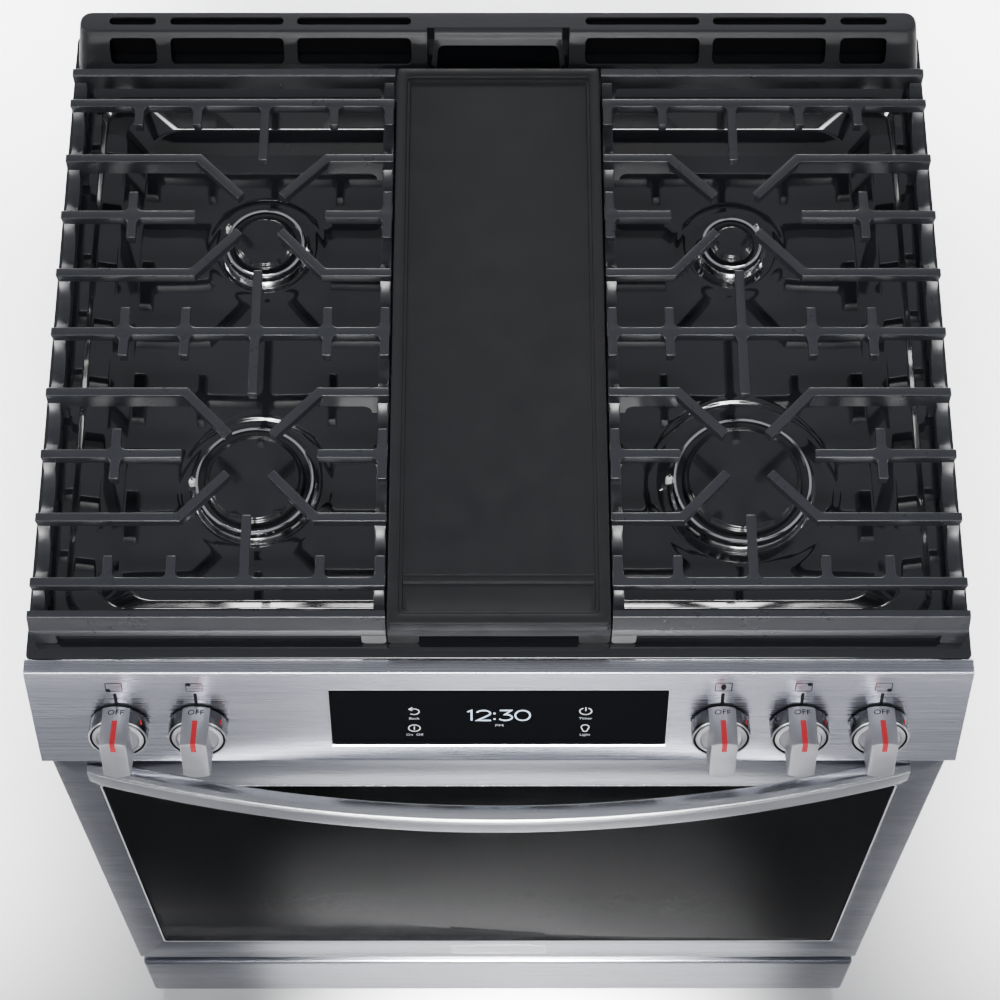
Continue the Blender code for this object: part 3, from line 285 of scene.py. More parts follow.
CERAMIC = matt("igniter_ceramic", (0.7, 0.69, 0.66), (0.82, 0.81, 0.78), (0.3, 0.42))
CHROME = plain_metal("rack_chrome", (0.6, 0.6, 0.62), (0.72, 0.72, 0.74), (0.12, 0.2), 80.0)
ZINC = zinc_sheet("galvanised_sheet")
SIDE_PAINT = matt("side_paint", (0.075, 0.078, 0.084), (0.092, 0.095, 0.102), (0.34, 0.44), 900.0, 0.1)
OUTER_GLASS = glass("door_glass", (0.058, 0.06, 0.063), 0.03, 0.9, 1.02)
CLEAR_GLASS = glass("inner_glass", (0.75, 0.78, 0.78))
PANEL_GLASS = enamel(
    "panel_glass", (0.004, 0.0042, 0.005), (0.006, 0.0062, 0.0072), (0.03, 0.06), 0.0, 0.0
)
FRIT = enamel("glass_border", (0.0035, 0.0035, 0.004), (0.006, 0.006, 0.007), (0.1, 0.2), 0.0, 0.2)
ROPE = woven("gasket_rope")
BOARD = matt("circuit_board", (0.01, 0.05, 0.028), (0.016, 0.07, 0.04), (0.35, 0.5), 120.0)
PLASTIC = matt("foot_plastic", (0.014, 0.014, 0.015), (0.024, 0.024, 0.026), (0.45, 0.6))
# Black print on the panel and knobs, also used as painted shade in the knobs' grooves and in the box behind
# the vent windows.
BLACK_PRINT_AND_SHADE = matt("printed_black_and_shade", (0.006, 0.006, 0.007), (0.01, 0.01, 0.011), (0.5, 0.6), 400.0, 0.0, 0.1)
# Light matt grey for the badge's border: painted highlight that keeps the rim bright whatever it faces.
RIM_HIGHLIGHT_GREY = matt("rim_highlight_grey", (0.72, 0.72, 0.73), (0.82, 0.82, 0.83), (0.3, 0.4), 400.0, 0.0)
RED_INK = matt("printed_red", (0.31, 0.01, 0.018), (0.37, 0.014, 0.024), (0.45, 0.55), 400.0, 0.0, 0.2)
DIGIT_LIGHT = glowing("digit_light", (0.62, 0.74, 0.9), 1.1)
ICON_LIGHT = glowing("icon_light", (0.62, 0.63, 0.65), 0.8)
SMALL_LIGHT = glowing("small_light", (0.4, 0.42, 0.46), 0.5)


# ---------------------------------------------------------------------------- modelling helpers
def finished(name, bm, materials, body, replaces=(), sharp=32):
    """Turns a bmesh in crease coordinates into a piece that rides on a body."""
    bmesh.ops.remove_doubles(bm, verts=bm.verts, dist=1e-6)
    bmesh.ops.recalc_face_normals(bm, faces=bm.faces)
    bmesh.ops.translate(bm, verts=bm.verts, vec=ORIGIN)
    mesh = bpy.data.meshes.new(name)
    bm.to_mesh(mesh)
    bm.free()
    mesh.shade_smooth()
    mesh.set_sharp_from_angle(angle=math.radians(sharp))
    for material in materials if isinstance(materials, (list, tuple)) else [materials]:
        mesh.materials.append(material)
    made = bpy.data.objects.new(name, mesh)
    bpy.context.scene.collection.objects.link(made)
    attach(made, body)
    if replaces:
        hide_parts(*replaces)
    return made


def add(bm, points, faces, index=0):
    """Adds points and faces to a bmesh; returns the new faces."""
    made = [bm.verts.new(point) for point in points]
    new_faces = []
    for face in faces:
        new_face = bm.faces.new([made[i] for i in face])
        new_face.material_index = index
        new_faces.append(new_face)
    return new_faces


def placed(bm, matrix, start):
    """Moves the points that were added after the first start ones."""
    bm.verts.ensure_lookup_table()
    for vert in bm.verts[start:]:
        vert.co = matrix @ vert.co


def ring_faces(count, rings, closed=False):
    """The four-sided faces between neighbouring rings of count points."""
    faces = []
    for level in range(rings if closed else rings - 1):
        low, high = level * count, (level + 1) % rings * count
        faces += [(low + i, low + (i + 1) % count, high + (i + 1) % count, high + i) for i in range(count)]
    return faces


def loft(bm, rings, caps=(True, True), closed=False, index=0):
    """Skins rings of equal point counts; caps closes the first and the last with a flat face."""
    count = len(rings[0])
    faces = ring_faces(count, len(rings), closed)
    if caps[0] and not closed:
        faces.append(tuple(reversed(range(count))))
    if caps[1] and not closed:
        last = (len(rings) - 1) * count
        faces.append(tuple(range(last, last + count)))
    return add(bm, [point for ring in rings for point in ring], faces, index)


def extrude(bm, outline, axis, low, high, index=0):
    """A closed prism: the outline lies across one axis."""
    order = {"x": (2, 0, 1), "y": (0, 2, 1), "z": (0, 1, 2)}[axis]
    rings = []
    for along in (low, high):
        ring = []
        for first, second in outline:
            local = (first, second, along)
            ring.append([local[i] for i in order])
        rings.append(ring)
    return loft(bm, rings, index=index)


def arc(centre, radius, start, end, steps=6):
    """Points along part of a circle, between two angles in degrees."""
    turn = [math.radians(start + (end - start) * i / steps) for i in range(steps + 1)]
    return [(centre[0] + radius * math.cos(a), centre[1] + radius * math.sin(a)) for a in turn]


def circle_points(x, y, radius, sides=72):
    """A whole circle as flat points."""
    turn = 2 * math.pi / sides
    return [Vector((x + radius * math.cos(i * turn), y + radius * math.sin(i * turn))) for i in range(sides)]


def rounded(half_x, low, high, radius, steps=6, centre_x=0.0):
    """A rectangle with round corners, counter-clockwise from its low right corner."""
    outline = arc((half_x - radius, low + radius), radius, -90, 0, steps)
    outline += arc((half_x - radius, high - radius), radius, 0, 90, steps)
    outline += arc((radius - half_x, high - radius), radius, 90, 180, steps)
    outline += arc((radius - half_x, low + radius), radius, 180, 270, steps)
    return [(centre_x + x, y) for x, y in outline]


def stacked(levels, steps=6):
    """Level rings from (half width, low y, high y, corner radius, z)."""
    return [[(x, y, z) for x, y in rounded(*plan, steps)] for *plan, z in levels]


def eased(stations, reach, steps=3):
    """Rounds the corners of a route of number tuples, cutting at most reach off each side."""
    route = [Vector(stations[0])]
    for before, here, after in zip(stations, stations[1:], stations[2:]):
        before, here, after = Vector(before), Vector(here), Vector(after)
        back, ahead = before - here, after - here
        start = here + back * min(0.45, reach / back.length)
        end = here + ahead * min(0.45, reach / ahead.length)
        for step in range(steps + 1):
            t = step / steps
            route.append(start.lerp(here, t).lerp(here.lerp(end, t), t))
    route.append(Vector(stations[-1]))
    return route


def turned(bm, profile, sides=64, matrix=Matrix(), index=0, caps=(True, True)):
    """A round solid about Z from (radius, height) pairs."""
    start = len(bm.verts)
    rings = []
    for radius, height in profile:
        turn = 2 * math.pi / sides
        rings.append(
            [(radius * math.cos(i * turn), radius * math.sin(i * turn), height) for i in range(sides)]
        )
    loft(bm, rings, caps, index=index)
    placed(bm, matrix, start)


def in_order(bm):
    """Merges doubles and sorts by place, as shapes added after a long bevel come in any order."""
    bmesh.ops.remove_doubles(bm, verts=bm.verts, dist=1e-6)
    ranks = {vert: rank for rank, vert in enumerate(sorted(bm.verts, key=lambda vert: vert.co[:]))}
    places = sorted(bm.faces, key=lambda face: sorted(ranks[vert] for vert in face.verts))
    bm.verts.sort(key=ranks.get)
    ranks = {face: rank for rank, face in enumerate(places)}
    bm.faces.sort(key=ranks.get)


def rounded_box(bm, xs, ys, zs, radius=0.001, segments=2, index=0):
    """A box with all its edges rounded."""
    corners = [(xs[0], ys[0]), (xs[1], ys[0]), (xs[1], ys[1]), (xs[0], ys[1])]
    faces = extrude(bm, corners, "z", zs[0], zs[1], index)
    edges = list(dict.fromkeys(edge for face in faces for edge in face.edges))
    bmesh.ops.bevel(
        bm, geom=edges, offset=radius, segments=segments, profile=0.5, affect="EDGES", clamp_overlap=True
    )


def tube(bm, route, radius, sides=10, index=0, closed=False):
    """A round wire along points, with flat ends."""
    points = [Vector(point) for point in route]
    rings = []
    side = None
    for i, here in enumerate(points):
        ahead = points[(i + 1) % len(points)] if closed or i + 1 < len(points) else here
        behind = points[i - 1] if closed or i else here
        along = (ahead - behind).normalized()
        if side is None:
            side = along.orthogonal().normalized()
        side = (side - along * side.dot(along)).normalized()
        up = along.cross(side)
        turn = 2 * math.pi / sides
        rings.append(
            [here + radius * (math.cos(j * turn) * side + math.sin(j * turn) * up) for j in range(sides)]
        )
    loft(bm, rings, closed=closed, index=index)


def panel_point(down, out):
    """A point (y, z) down the panel's sloping face from the crease and out from it."""
    y = -down * math.sin(PANEL_SLOPE) - out * math.cos(PANEL_SLOPE)
    z = -down * math.cos(PANEL_SLOPE) + out * math.sin(PANEL_SLOPE)
    return y, z


def panel_matrix(x, down, out=0.0):
    """A frame on the panel's face: Z out of the face, Y up the face, X to the right."""
    y, z = panel_point(down, out)
    outward = Vector((0, -math.cos(PANEL_SLOPE), math.sin(PANEL_SLOPE)))
    up_face = Vector((0, math.sin(PANEL_SLOPE), math.cos(PANEL_SLOPE)))
    turn = Matrix((Vector((1, 0, 0)), up_face, outward)).transposed().to_4x4()
    return Matrix.Translation((x, y, z)) @ turn


def boolean(bm, other, operation):
    """Combines two closed bmeshes with the exact solver and returns the result."""
    objects = []
    for shape in (bm, other):
        bmesh.ops.remove_doubles(shape, verts=shape.verts, dist=1e-7)
        bmesh.ops.recalc_face_normals(shape, faces=shape.faces)
        mesh = bpy.data.meshes.new("shape")
        shape.to_mesh(mesh)
        shape.free()
        made = bpy.data.objects.new("shape", mesh)
        bpy.context.scene.collection.objects.link(made)
        objects.append(made)
    modifier = objects[0].modifiers.new("boolean", "BOOLEAN")
    modifier.operation = operation
    modifier.solver = "EXACT"
    modifier.use_self = True
    modifier.object = objects[1]
    graph = bpy.context.evaluated_depsgraph_get()
    result = bmesh.new()
    result.from_mesh(objects[0].evaluated_get(graph).to_mesh())
    for made in objects:
        mesh = made.data
        bpy.data.objects.remove(made)
        bpy.data.meshes.remove(mesh)
    return result


# ---------------------------------------------------------------------------- plan shapes
def strip(points, width):
    """The outline of a bar that follows plan points, mitred at its bends, turning left."""
    points = [Vector(point) for point in points]
    ways = [(after - before).normalized() for before, after in zip(points, points[1:])]
    left, right = [], []
    for here, first, second in zip(points, ways[:1] + ways, ways + ways[-1:]):
        middle = Vector((-first.y - second.y, first.x + second.x)).normalized()
        offset = middle * (width / 2 / max(0.3, first.cross(middle)))
        left.append(here + offset)
        right.append(here - offset)
    return right + left[::-1]


def union_loops(outlines):
    """The outlines of the union of plan shapes: outer ones turn left, holes turn right."""
    points, faces = [], []
    for outline in outlines:
        start = len(points)
        points += [Vector(point) for point in outline]
        faces.append(list(range(start, start + len(outline))))
    made, _, triangles, _, _, sources = delaunay_2d_cdt(points, [], faces, 0, 1e-6)
    following = {}
    sides = set()
    for triangle, source in zip(triangles, sources):
        if source:
            sides.update((triangle[i], triangle[(i + 1) % 3]) for i in range(3))
    for start, end in sides:
        if (end, start) not in sides:
            following.setdefault(start, []).append(end)
    loops = []
    while following:
        start = next(iter(following))
        loop = [start]
        while True:
            ends = following[loop[-1]]
            step = ends.pop()
            if not ends:
                del following[loop[-1]]
            if step == start:
                break
            loop.append(step)
        loops.append([made[i] for i in loop])
    return loops


def softened(loop, convex, concave, steps=4):
    """Drops needless points of a loop and turns its corners with arcs."""
    corners = []
    for i, here in enumerate(loop):
        before, after = here - loop[i - 1], loop[(i + 1) % len(loop)] - here
        if before.length > 1e-5 and abs(before.normalized().cross(after.normalized())) > 0.02:
            corners.append(here)
    outline = []
    for i, here in enumerate(corners):
        back = corners[i - 1] - here
        ahead = corners[(i + 1) % len(corners)] - here
        turn = (-back).normalized().cross(ahead.normalized())
        radius = convex if turn > 0 else concave
        half = back.angle(ahead) / 2
        reach = min(radius / math.tan(half), 0.48 * back.length, 0.48 * ahead.length)
        start, end = here + back.normalized() * reach, here + ahead.normalized() * reach
        for step in range(steps + 1):
            t = step / steps
            weight = math.sin(half)
            a, b, c = (1 - t) ** 2, 2 * t * (1 - t) * weight, t * t
            outline.append((start * a + here * b + end * c) / (a + b + c))
    return outline


def inset(loop, distance):
    """Moves a loop's points to its left, which is inwards, by a distance."""
    if not distance:
        return list(loop)
    moved = []
    for i, here in enumerate(loop):
        first = (here - loop[i - 1]).normalized()
        second = (loop[(i + 1) % len(loop)] - here).normalized()
        normal_1 = Vector((-first.y, first.x))
        normal_2 = Vector((-second.y, second.x))
        middle = normal_1 + normal_2
        moved.append(here + middle * (distance / max(0.5, 1 + normal_1.dot(normal_2))))
    return moved


def flat_fill(bm, loops, z, index=0):
    """Fills the area between level loops; z is a height or a function of x and y."""
    points, edges = [], []
    for loop in loops:
        start = len(points)
        points += [Vector((p[0], p[1])) for p in loop]
        edges += [(start + i, start + (i + 1) % len(loop)) for i in range(len(loop))]
    made, _, triangles, _, _, _ = delaunay_2d_cdt(points, edges, [], 0, 1e-7)
    height = z if callable(z) else (lambda x, y: z)
    kept = []
    for triangle in triangles:
        centre = sum((made[i] for i in triangle), Vector((0, 0))) / 3
        if sum(inside(centre, loop) for loop in loops) % 2:
            kept.append(triangle)
    add(bm, [(p.x, p.y, height(p.x, p.y)) for p in made], kept, index)


def inside(point, loop):
    """Whether a plan point lies within a loop."""
    found = False
    for i, here in enumerate(loop):
        before = loop[i - 1]
        if (here[1] > point[1]) != (before[1] > point[1]):
            cross_x = (before[0] - here[0]) * (point[1] - here[1]) / (before[1] - here[1]) + here[0]
            found ^= point[0] < cross_x
    return found


def plate(bm, loops, levels, index=0):
    """A thick plan shape through (inset, height) levels, filled at its first and last level."""
    for loop in loops:
        rings = [[(p.x, p.y, z) for p in inset(loop, distance)] for distance, z in levels]
        loft(bm, rings, caps=(False, False), index=index)
    for distance, z in (levels[0], levels[-1]):
        flat_fill(bm, [inset(loop, distance) for loop in loops], z, index)


# ---------------------------------------------------------------------------- control panel
PANEL_LOW, PANEL_HIGH = span("control_panel")
PANEL_FACE_LENGTH = 0.1171
KNOB_DOWN_FACE = 0.0645


def control_panel():
    """The folded stainless housing, with a rolled crease and rolled lower edge."""
    foot_y, foot_z = panel_point(PANEL_FACE_LENGTH, 0)
    section = [
        (PANEL_BAND, -0.0145), (PANEL_BAND, 0), (0, 0), (foot_y, foot_z),
        (foot_y + 0.0034, PANEL_LOW.z), (0.0222, PANEL_LOW.z), (0.0222, -0.0145),
    ]
    outline = eased(section, 0.0016, 4)
    bm = bmesh.new()
    extrude(bm, outline, "x", PANEL_LOW.x, PANEL_HIGH.x)
    ends = [e for e in bm.edges if e.calc_face_angle(0) > 1 and e.verts[0].co.x == e.verts[1].co.x]
    bmesh.ops.bevel(bm, geom=ends, offset=0.0006, segments=2, profile=0.5, affect="EDGES")
    finished("control_panel_sheet", bm, STEEL, "body", ["control_panel"])


def marks_on_panel():
    """A burner map and a tick above each knob: thin printed shapes on the sloping face."""
    width, height, line, thick = 0.0138, 0.0108, 0.00065, 0.00006
    dots = {
        "left_front": (-0.005, -0.004),
        "left_rear": (-0.0046, 0.0036),
        "centre": (0, 0),
        "right_rear": (0.0046, 0.0036),
        "right_front": (0.005, -0.004),
    }
    bm = bmesh.new()
    for name in KNOBS:
        start = len(bm.verts)
        outer = [Vector(p) for p in rounded(width / 2, -height / 2, height / 2, 0.001, 3)]
        inner = inset(outer, line)
        walls = ((outer, 0), (outer, thick), (inner, thick), (inner, 0))
        loft(bm, [[(p.x, p.y, z) for p in loop] for loop, z in walls], closed=True)
        dot_x, dot_y = dots[name]
        stretch = 1.9 if name == "centre" else 1.0
        dot = [(dot_x + p.x, dot_y + p.y * stretch) for p in circle_points(0, 0, 0.0021, 20)]
        extrude(bm, dot, "z", 0, thick * 1.5)
        extrude(bm, rounded(0.0014, -0.0222, -0.008, 0.0008, 3), "z", 0, thick)
        placed(bm, panel_matrix(centre_of("knob_" + name)[0], 0.018, 0.00002), start)
    finished("burner_marks", bm, BLACK_PRINT_AND_SHADE, "body")


def text_mesh(bm, words, height, matrix, index=0, thick=0.00005, wide=1.0, bend=None):
    """Adds words as a thin solid, centred, with their capital height, bent round a radius."""
    data = bpy.data.curves.new("words", "FONT")
    data.body = words
    data.align_x = "CENTER"
    data.align_y = "CENTER"
    data.size = height / 0.7
    data.extrude = thick
    data.resolution_u = 3
    made = bpy.data.objects.new("words", data)
    bpy.context.scene.collection.objects.link(made)
    graph = bpy.context.evaluated_depsgraph_get()
    mesh = made.evaluated_get(graph).to_mesh()
    start = len(bm.verts)
    points = [Vector((v.co.x * wide, v.co.y, v.co.z)) for v in mesh.vertices]
    for point in points if bend else []:
        point.z += math.sqrt(bend ** 2 - point.x ** 2) - bend
    add(bm, points, [tuple(f.vertices) for f in mesh.polygons], index)
    placed(bm, matrix, start)
    bpy.data.objects.remove(made)
    bpy.data.curves.remove(data)


def stroke(bm, points, width, matrix, index=0, thick=0.00006, closed=False):
    """A flat line of even width through plan points."""
    start = len(bm.verts)
    points = [Vector(p) for p in points]
    if closed:
        rings = []
        area = sum(a.x * b.y - b.x * a.y for a, b in zip(points, points[1:] + points[:1]))
        outer = points if area > 0 else points[::-1]
        for distance, z in ((-width / 2, 0), (-width / 2, thick), (width / 2, thick), (width / 2, 0)):
            rings.append([(p.x, p.y, z) for p in inset(outer, distance)])
        loft(bm, rings, closed=True, index=index)
    else:
        extrude(bm, strip(points, width), "z", 0, thick, index)
    placed(bm, matrix, start)


def digit_strokes(digit, width, height):
    """Centre lines of one display digit, each with whether it closes, from its left edge."""
    top = height / 2
    if digit == "1":
        return [([(0, top * 0.72), (width * 0.62, top), (width * 0.62, -top)], False)]
    if digit == "2":
        curve = [(width * 0.48 + x * 1.45, y) for x, y in arc((0, top * 0.42), top * 0.58, 165, -38, 10)]
        return [(curve + [(width * 0.04, -top), (width, -top)], False)]
    if digit == "3":
        curve = [(width * 0.48 + x * 1.4, y) for x, y in arc((0, -top * 0.4), top * 0.6, 88, -150, 12)]
        return [([(width * 0.06, top), (width * 0.92, top), (width * 0.46, top * 0.2)] + curve, False)]
    return [([(width / 2 + p.x * width / height, p.y) for p in circle_points(0, 0, top, 32)], True)]


def display():
    """Black glass in a bright edge, with a lit clock and four lit function marks."""
    half = span("display_glass")[1].x
    upper, lower = 0.0215, 0.094
    middle = (upper + lower) / 2
    tall = (lower - upper) / 2
    bm = bmesh.new()
    outline = [Vector(p) for p in rounded(half, -tall, tall, 0.0012, 4)]
    levels = ((0, -0.0005), (0, 0.0001), (0.0003, 0.0003), (0.0007, 0.00035))
    plate(bm, [outline], levels)
    placed(bm, panel_matrix(0, middle), 0)
    finished("display_window", bm, PANEL_GLASS, "body", ["display_glass"])

    bm = bmesh.new()
    rings = []
    for distance, z in ((-0.0008, 0.0), (-0.0008, 0.00025), (0.0, 0.0003), (0.0, -0.0002)):
        rings.append([(p.x, p.y, z) for p in inset(outline, distance)])
    loft(bm, rings, closed=True)
    lip = [(0.0018, -0.0001), (0.0018, 0.0008), (0.0014, 0.001), (0, 0.0002), (0, -0.0001)]
    lip = [(-tall - below, out) for below, out in lip]
    extrude(bm, lip, "x", -half, half)
    placed(bm, panel_matrix(0, middle), 0)
    finished("display_edge", bm, POLISHED, "body")

    front = 0.0004
    bm = bmesh.new()
    height, line = 0.0132, 0.0014
    centre_down = 0.0545
    digits = (("1", -0.0254, 0.0052), ("2", -0.018, 0.0116), ("3", 0.0002, 0.0106), ("0", 0.0134, 0.012))
    for digit, left, width in digits:
        for route, closed in digit_strokes(digit, width, height):
            stroke(bm, route, line, panel_matrix(left, centre_down, front), closed=closed)
    for up in (0.0026, -0.0048):
        start = len(bm.verts)
        extrude(bm, circle_points(0, 0, 0.001, 16), "z", 0, 0.00006)
        placed(bm, panel_matrix(-0.0035, centre_down - up, front), start)
    finished("clock_digits", bm, DIGIT_LIGHT, "body")

    bm = bmesh.new()
    line = 0.0008
    at = panel_matrix(-0.069, 0.049, front)
    hook = [(1.15 * x, y) for x, y in arc((0, -0.0004), 0.0038, 75, -130, 12)]
    stroke(bm, [(-0.0036, 0.0028)] + hook, line, at)
    stroke(bm, [(-0.0012, 0.005), (-0.0038, 0.0028), (-0.0012, 0.0008)], line, at)
    at = panel_matrix(-0.069, 0.0714, front)
    stroke(bm, [(1.1 * p.x, p.y) for p in circle_points(0, 0, 0.0043, 32)], line, at, closed=True)
    stroke(bm, [(0, 0.0021), (0, -0.0021)], line, at)
    at = panel_matrix(0.0705, 0.049, front)
    stroke(bm, [(1.1 * x, y) for x, y in arc((0, 0), 0.0044, 115, 425, 24)], line, at)
    stroke(bm, [(0, 0.0052), (0, 0.0004)], line, at)
    at = panel_matrix(0.0705, 0.0714, front)
    bulb = arc((0, 0.0012), 0.0032, -35, 215, 12) + [(-0.0013, -0.0044), (0.0013, -0.0044)]
    stroke(bm, bulb, line, at, closed=True)
    finished("function_marks", bm, ICON_LIGHT, "body")

    bm = bmesh.new()
    words = (
        ("Back", -0.069, 0.0586),
        ("On  Off", -0.069, 0.0804),
        ("Timer", 0.0705, 0.0586),
        ("Light", 0.0705, 0.0804),
    )
    for word, x, down in words:
        text_mesh(bm, word, 0.0027, panel_matrix(x, down, front), wide=1.15)
    text_mesh(bm, "PM", 0.0032, panel_matrix(0.0004, 0.068, front), wide=1.25)
    finished("function_words", bm, SMALL_LIGHT, "body")


# ---------------------------------------------------------------------------- knobs
GRIP_HALF = 0.011


def grip_ring(top_reach, low_reach, half, z):
    """One level of the grip bar: straight sides between two arcs about the knob's axis."""
    ring = []
    for start, reach in ((90, top_reach), (270, low_reach)):
        edge = math.asin(half / reach)
        for step in range(13):
            angle = math.radians(start) - edge + 2 * edge * step / 12
            ring.append((reach * math.cos(angle), reach * math.sin(angle), z))
    return ring


def knob_mesh_parts(bm):
    """One knob in its own frame: a grooved skirt, a grip bar across it, a red line and a word."""
    radius, grip = 0.0242, 0.0246
    skirt = [
        (0.004, 0.0022), (radius - 0.001, 0.0022), (radius - 0.0002, 0.0028), (radius, 0.004),
        (radius - 0.0002, 0.0162),
    ]
    # The skirt takes material 3, the darker steel: painted shade under the grip.
    turned(bm, skirt, 72, index=3, caps=(True, False))
    rim = [(0.0002, 0.0162), (0.0005, 0.017), (0.001, 0.0174), (0.0015, 0.0172), (0.0018, 0.0166)]
    turned(bm, [(radius - inward, z) for inward, z in rim], 72, caps=(False, False))
    # The groove is coloured black (material 1): painted shadow for the dark gap round the top of the skirt.
    groove = [(0.0018, 0.0166), (0.002, 0.0146), (0.003, 0.0146), (0.0032, 0.016)]
    turned(bm, [(radius - inward, z) for inward, z in groove], 72, index=1, caps=(False, False))
    disc = [(0.0032, 0.016), (0.0036, 0.0166), (0.0062, 0.0176), (0.0068, 0.0176)]
    disc += [(0.0076, 0.0162), (0.009, 0.0158)]
    disc = [(radius - inward, z) for inward, z in disc] + [(0.001, 0.0158)]
    turned(bm, disc, 72, caps=(False, True))

    levels = [
        (grip - 0.0004, grip - 0.0012, GRIP_HALF - 0.0002, 0.002),
        (grip, grip - 0.0008, GRIP_HALF, 0.0024), (grip - 0.0001, grip - 0.001, GRIP_HALF, 0.016),
        (grip - 0.0008, grip - 0.0034, GRIP_HALF - 0.0002, 0.0388),
        (grip - 0.0009, grip - 0.0036, GRIP_HALF - 0.0003, 0.0393),
        (grip - 0.0012, grip - 0.0039, GRIP_HALF - 0.0006, 0.0397),
        (grip - 0.0017, grip - 0.0044, GRIP_HALF - 0.001, 0.0399),
        (grip - 0.0024, grip - 0.0052, GRIP_HALF - 0.0015, 0.04),
    ]
    loft(bm, [grip_ring(*level) for level in levels])

    line_half = 0.0021
    route = [
        (grip - 0.0001, 0.0165), (grip - 0.0004, 0.027), (grip - 0.0008, 0.0388),
        (grip - 0.0009, 0.0393), (grip - 0.0012, 0.0397), (grip - 0.0017, 0.0399),
        (grip - 0.0024, 0.04), (grip - 0.011, 0.04),
    ]
    rings = []
    for i, here in enumerate(route):
        before, after = Vector(route[max(i - 1, 0)]), Vector(route[min(i + 1, len(route) - 1)])
        along = (after - before).normalized()
        out = Vector((along.y, -along.x)) * 0.00005
        base, face = Vector(here) - out * 3, Vector(here) + out
        rings.append([(-line_half, *base), (line_half, *base), (line_half, *face), (-line_half, *face)])
    loft(bm, rings, index=2)
    across_end = Matrix(((1, 0, 0, 0), (0, 0, 1, grip), (0, -1, 0, 0.0083), (0, 0, 0, 1)))
    text_mesh(bm, "OFF", 0.0048, across_end, 1, 0.0002, 1.12, grip)
    flame = [(0, 0.0034), (0.0014, 0.0008), (0.0014, -0.0012), (0, -0.0024)]
    flame += [(-x, y) for x, y in flame[2:0:-1]]
    start = len(bm.verts)
    extrude(bm, flame, "z", -0.0001, 0.0001, index=2)
    side = math.radians(36)
    outward = Vector((math.cos(side), math.sin(side), 0))
    up = Vector((0, 0, -1))
    turn = Matrix((up.cross(outward), up, outward)).transposed().to_4x4()
    placed(bm, Matrix.Translation(outward * radius + Vector((0, 0, 0.0108))) @ turn, start)


def knobs():
    """Five knobs that share a shape, each on its own body."""
    for name in KNOBS:
        low, high = span("knob_" + name)
        bm = bmesh.new()
        knob_mesh_parts(bm)
        placed(bm, panel_matrix((low.x + high.x) / 2, KNOB_DOWN_FACE), 0)
        materials = [KNOB_STEEL, BLACK_PRINT_AND_SHADE, RED_INK, SHADED_SKIRT_STEEL]
        finished("knob_metal_" + name, bm, materials, "knob_" + name, ["knob_" + name], 28)


# ---------------------------------------------------------------------------- cooktop
COOKTOP_LOW, COOKTOP_HIGH = span("cooktop")
PAN_FLOOR = -0.022
BURNER_FOOT = PAN_FLOOR + 0.0006
BURNER_TOP = -0.0085
FLAME_PORTS = 40
IGNITER_ANGLES = {"left_front": 178, "right_front": 176, "left_rear": 150, "right_rear": 40}
DISH_REACH = {"left_front": 0.064, "left_rear": 0.051, "right_front": 0.08, "right_rear": 0.047}


def cooktop():
    """One pressed and enamelled sheet: rim, stepped walls, sunk floor and a raised dish per burner."""
    half, front, back = COOKTOP_HIGH.x, COOKTOP_LOW.y, COOKTOP_HIGH.y
    stations = [
        (half - 0.001, front + 0.001, back - 0.0002, 0.003, COOKTOP_LOW.z),
        (half, front, back, 0.0035, COOKTOP_LOW.z), (half, front, back, 0.0035, 0),
        (0.3505, 0.0475, 0.5505, 0.02, 0), (0.3465, 0.0515, 0.547, 0.024, -0.006),
        (0.329, 0.0605, 0.543, 0.028, -0.0085), (0.311, 0.0725, 0.531, 0.03, PAN_FLOOR),
        (0.303, 0.08, 0.523, 0.03, PAN_FLOOR),
    ]
    rings = stacked(eased(stations, 0.002, 4), 8)
    bm = bmesh.new()
    loft(bm, rings, caps=(True, False))
    floor_loops = [[Vector((x, y)) for x, y, _ in rings[-1]]]
    for name in BURNERS:
        x, y = centre_of("burner_head_" + name)
        reach = DISH_REACH[name]
        profile = [
            (reach + 0.006, PAN_FLOOR), (reach + 0.002, PAN_FLOOR + 0.0002),
            (reach - 0.003, PAN_FLOOR + 0.0022), (reach - 0.0075, PAN_FLOOR + 0.0026),
            (reach - 0.012, PAN_FLOOR + 0.0014), (reach - 0.017, PAN_FLOOR + 0.0004),
            (0.016, PAN_FLOOR + 0.0004),
        ]
        dish = eased(profile, 0.0026, 4)
        loft(bm, [[(p.x, p.y, z) for p in circle_points(x, y, r)] for r, z in dish], caps=(False, True))
        floor_loops.append(circle_points(x, y, dish[0][0]))
    flat_fill(bm, floor_loops, PAN_FLOOR)
    finished("cooktop_pan", bm, BLACK_ENAMEL, "body", ["cooktop"], 40)


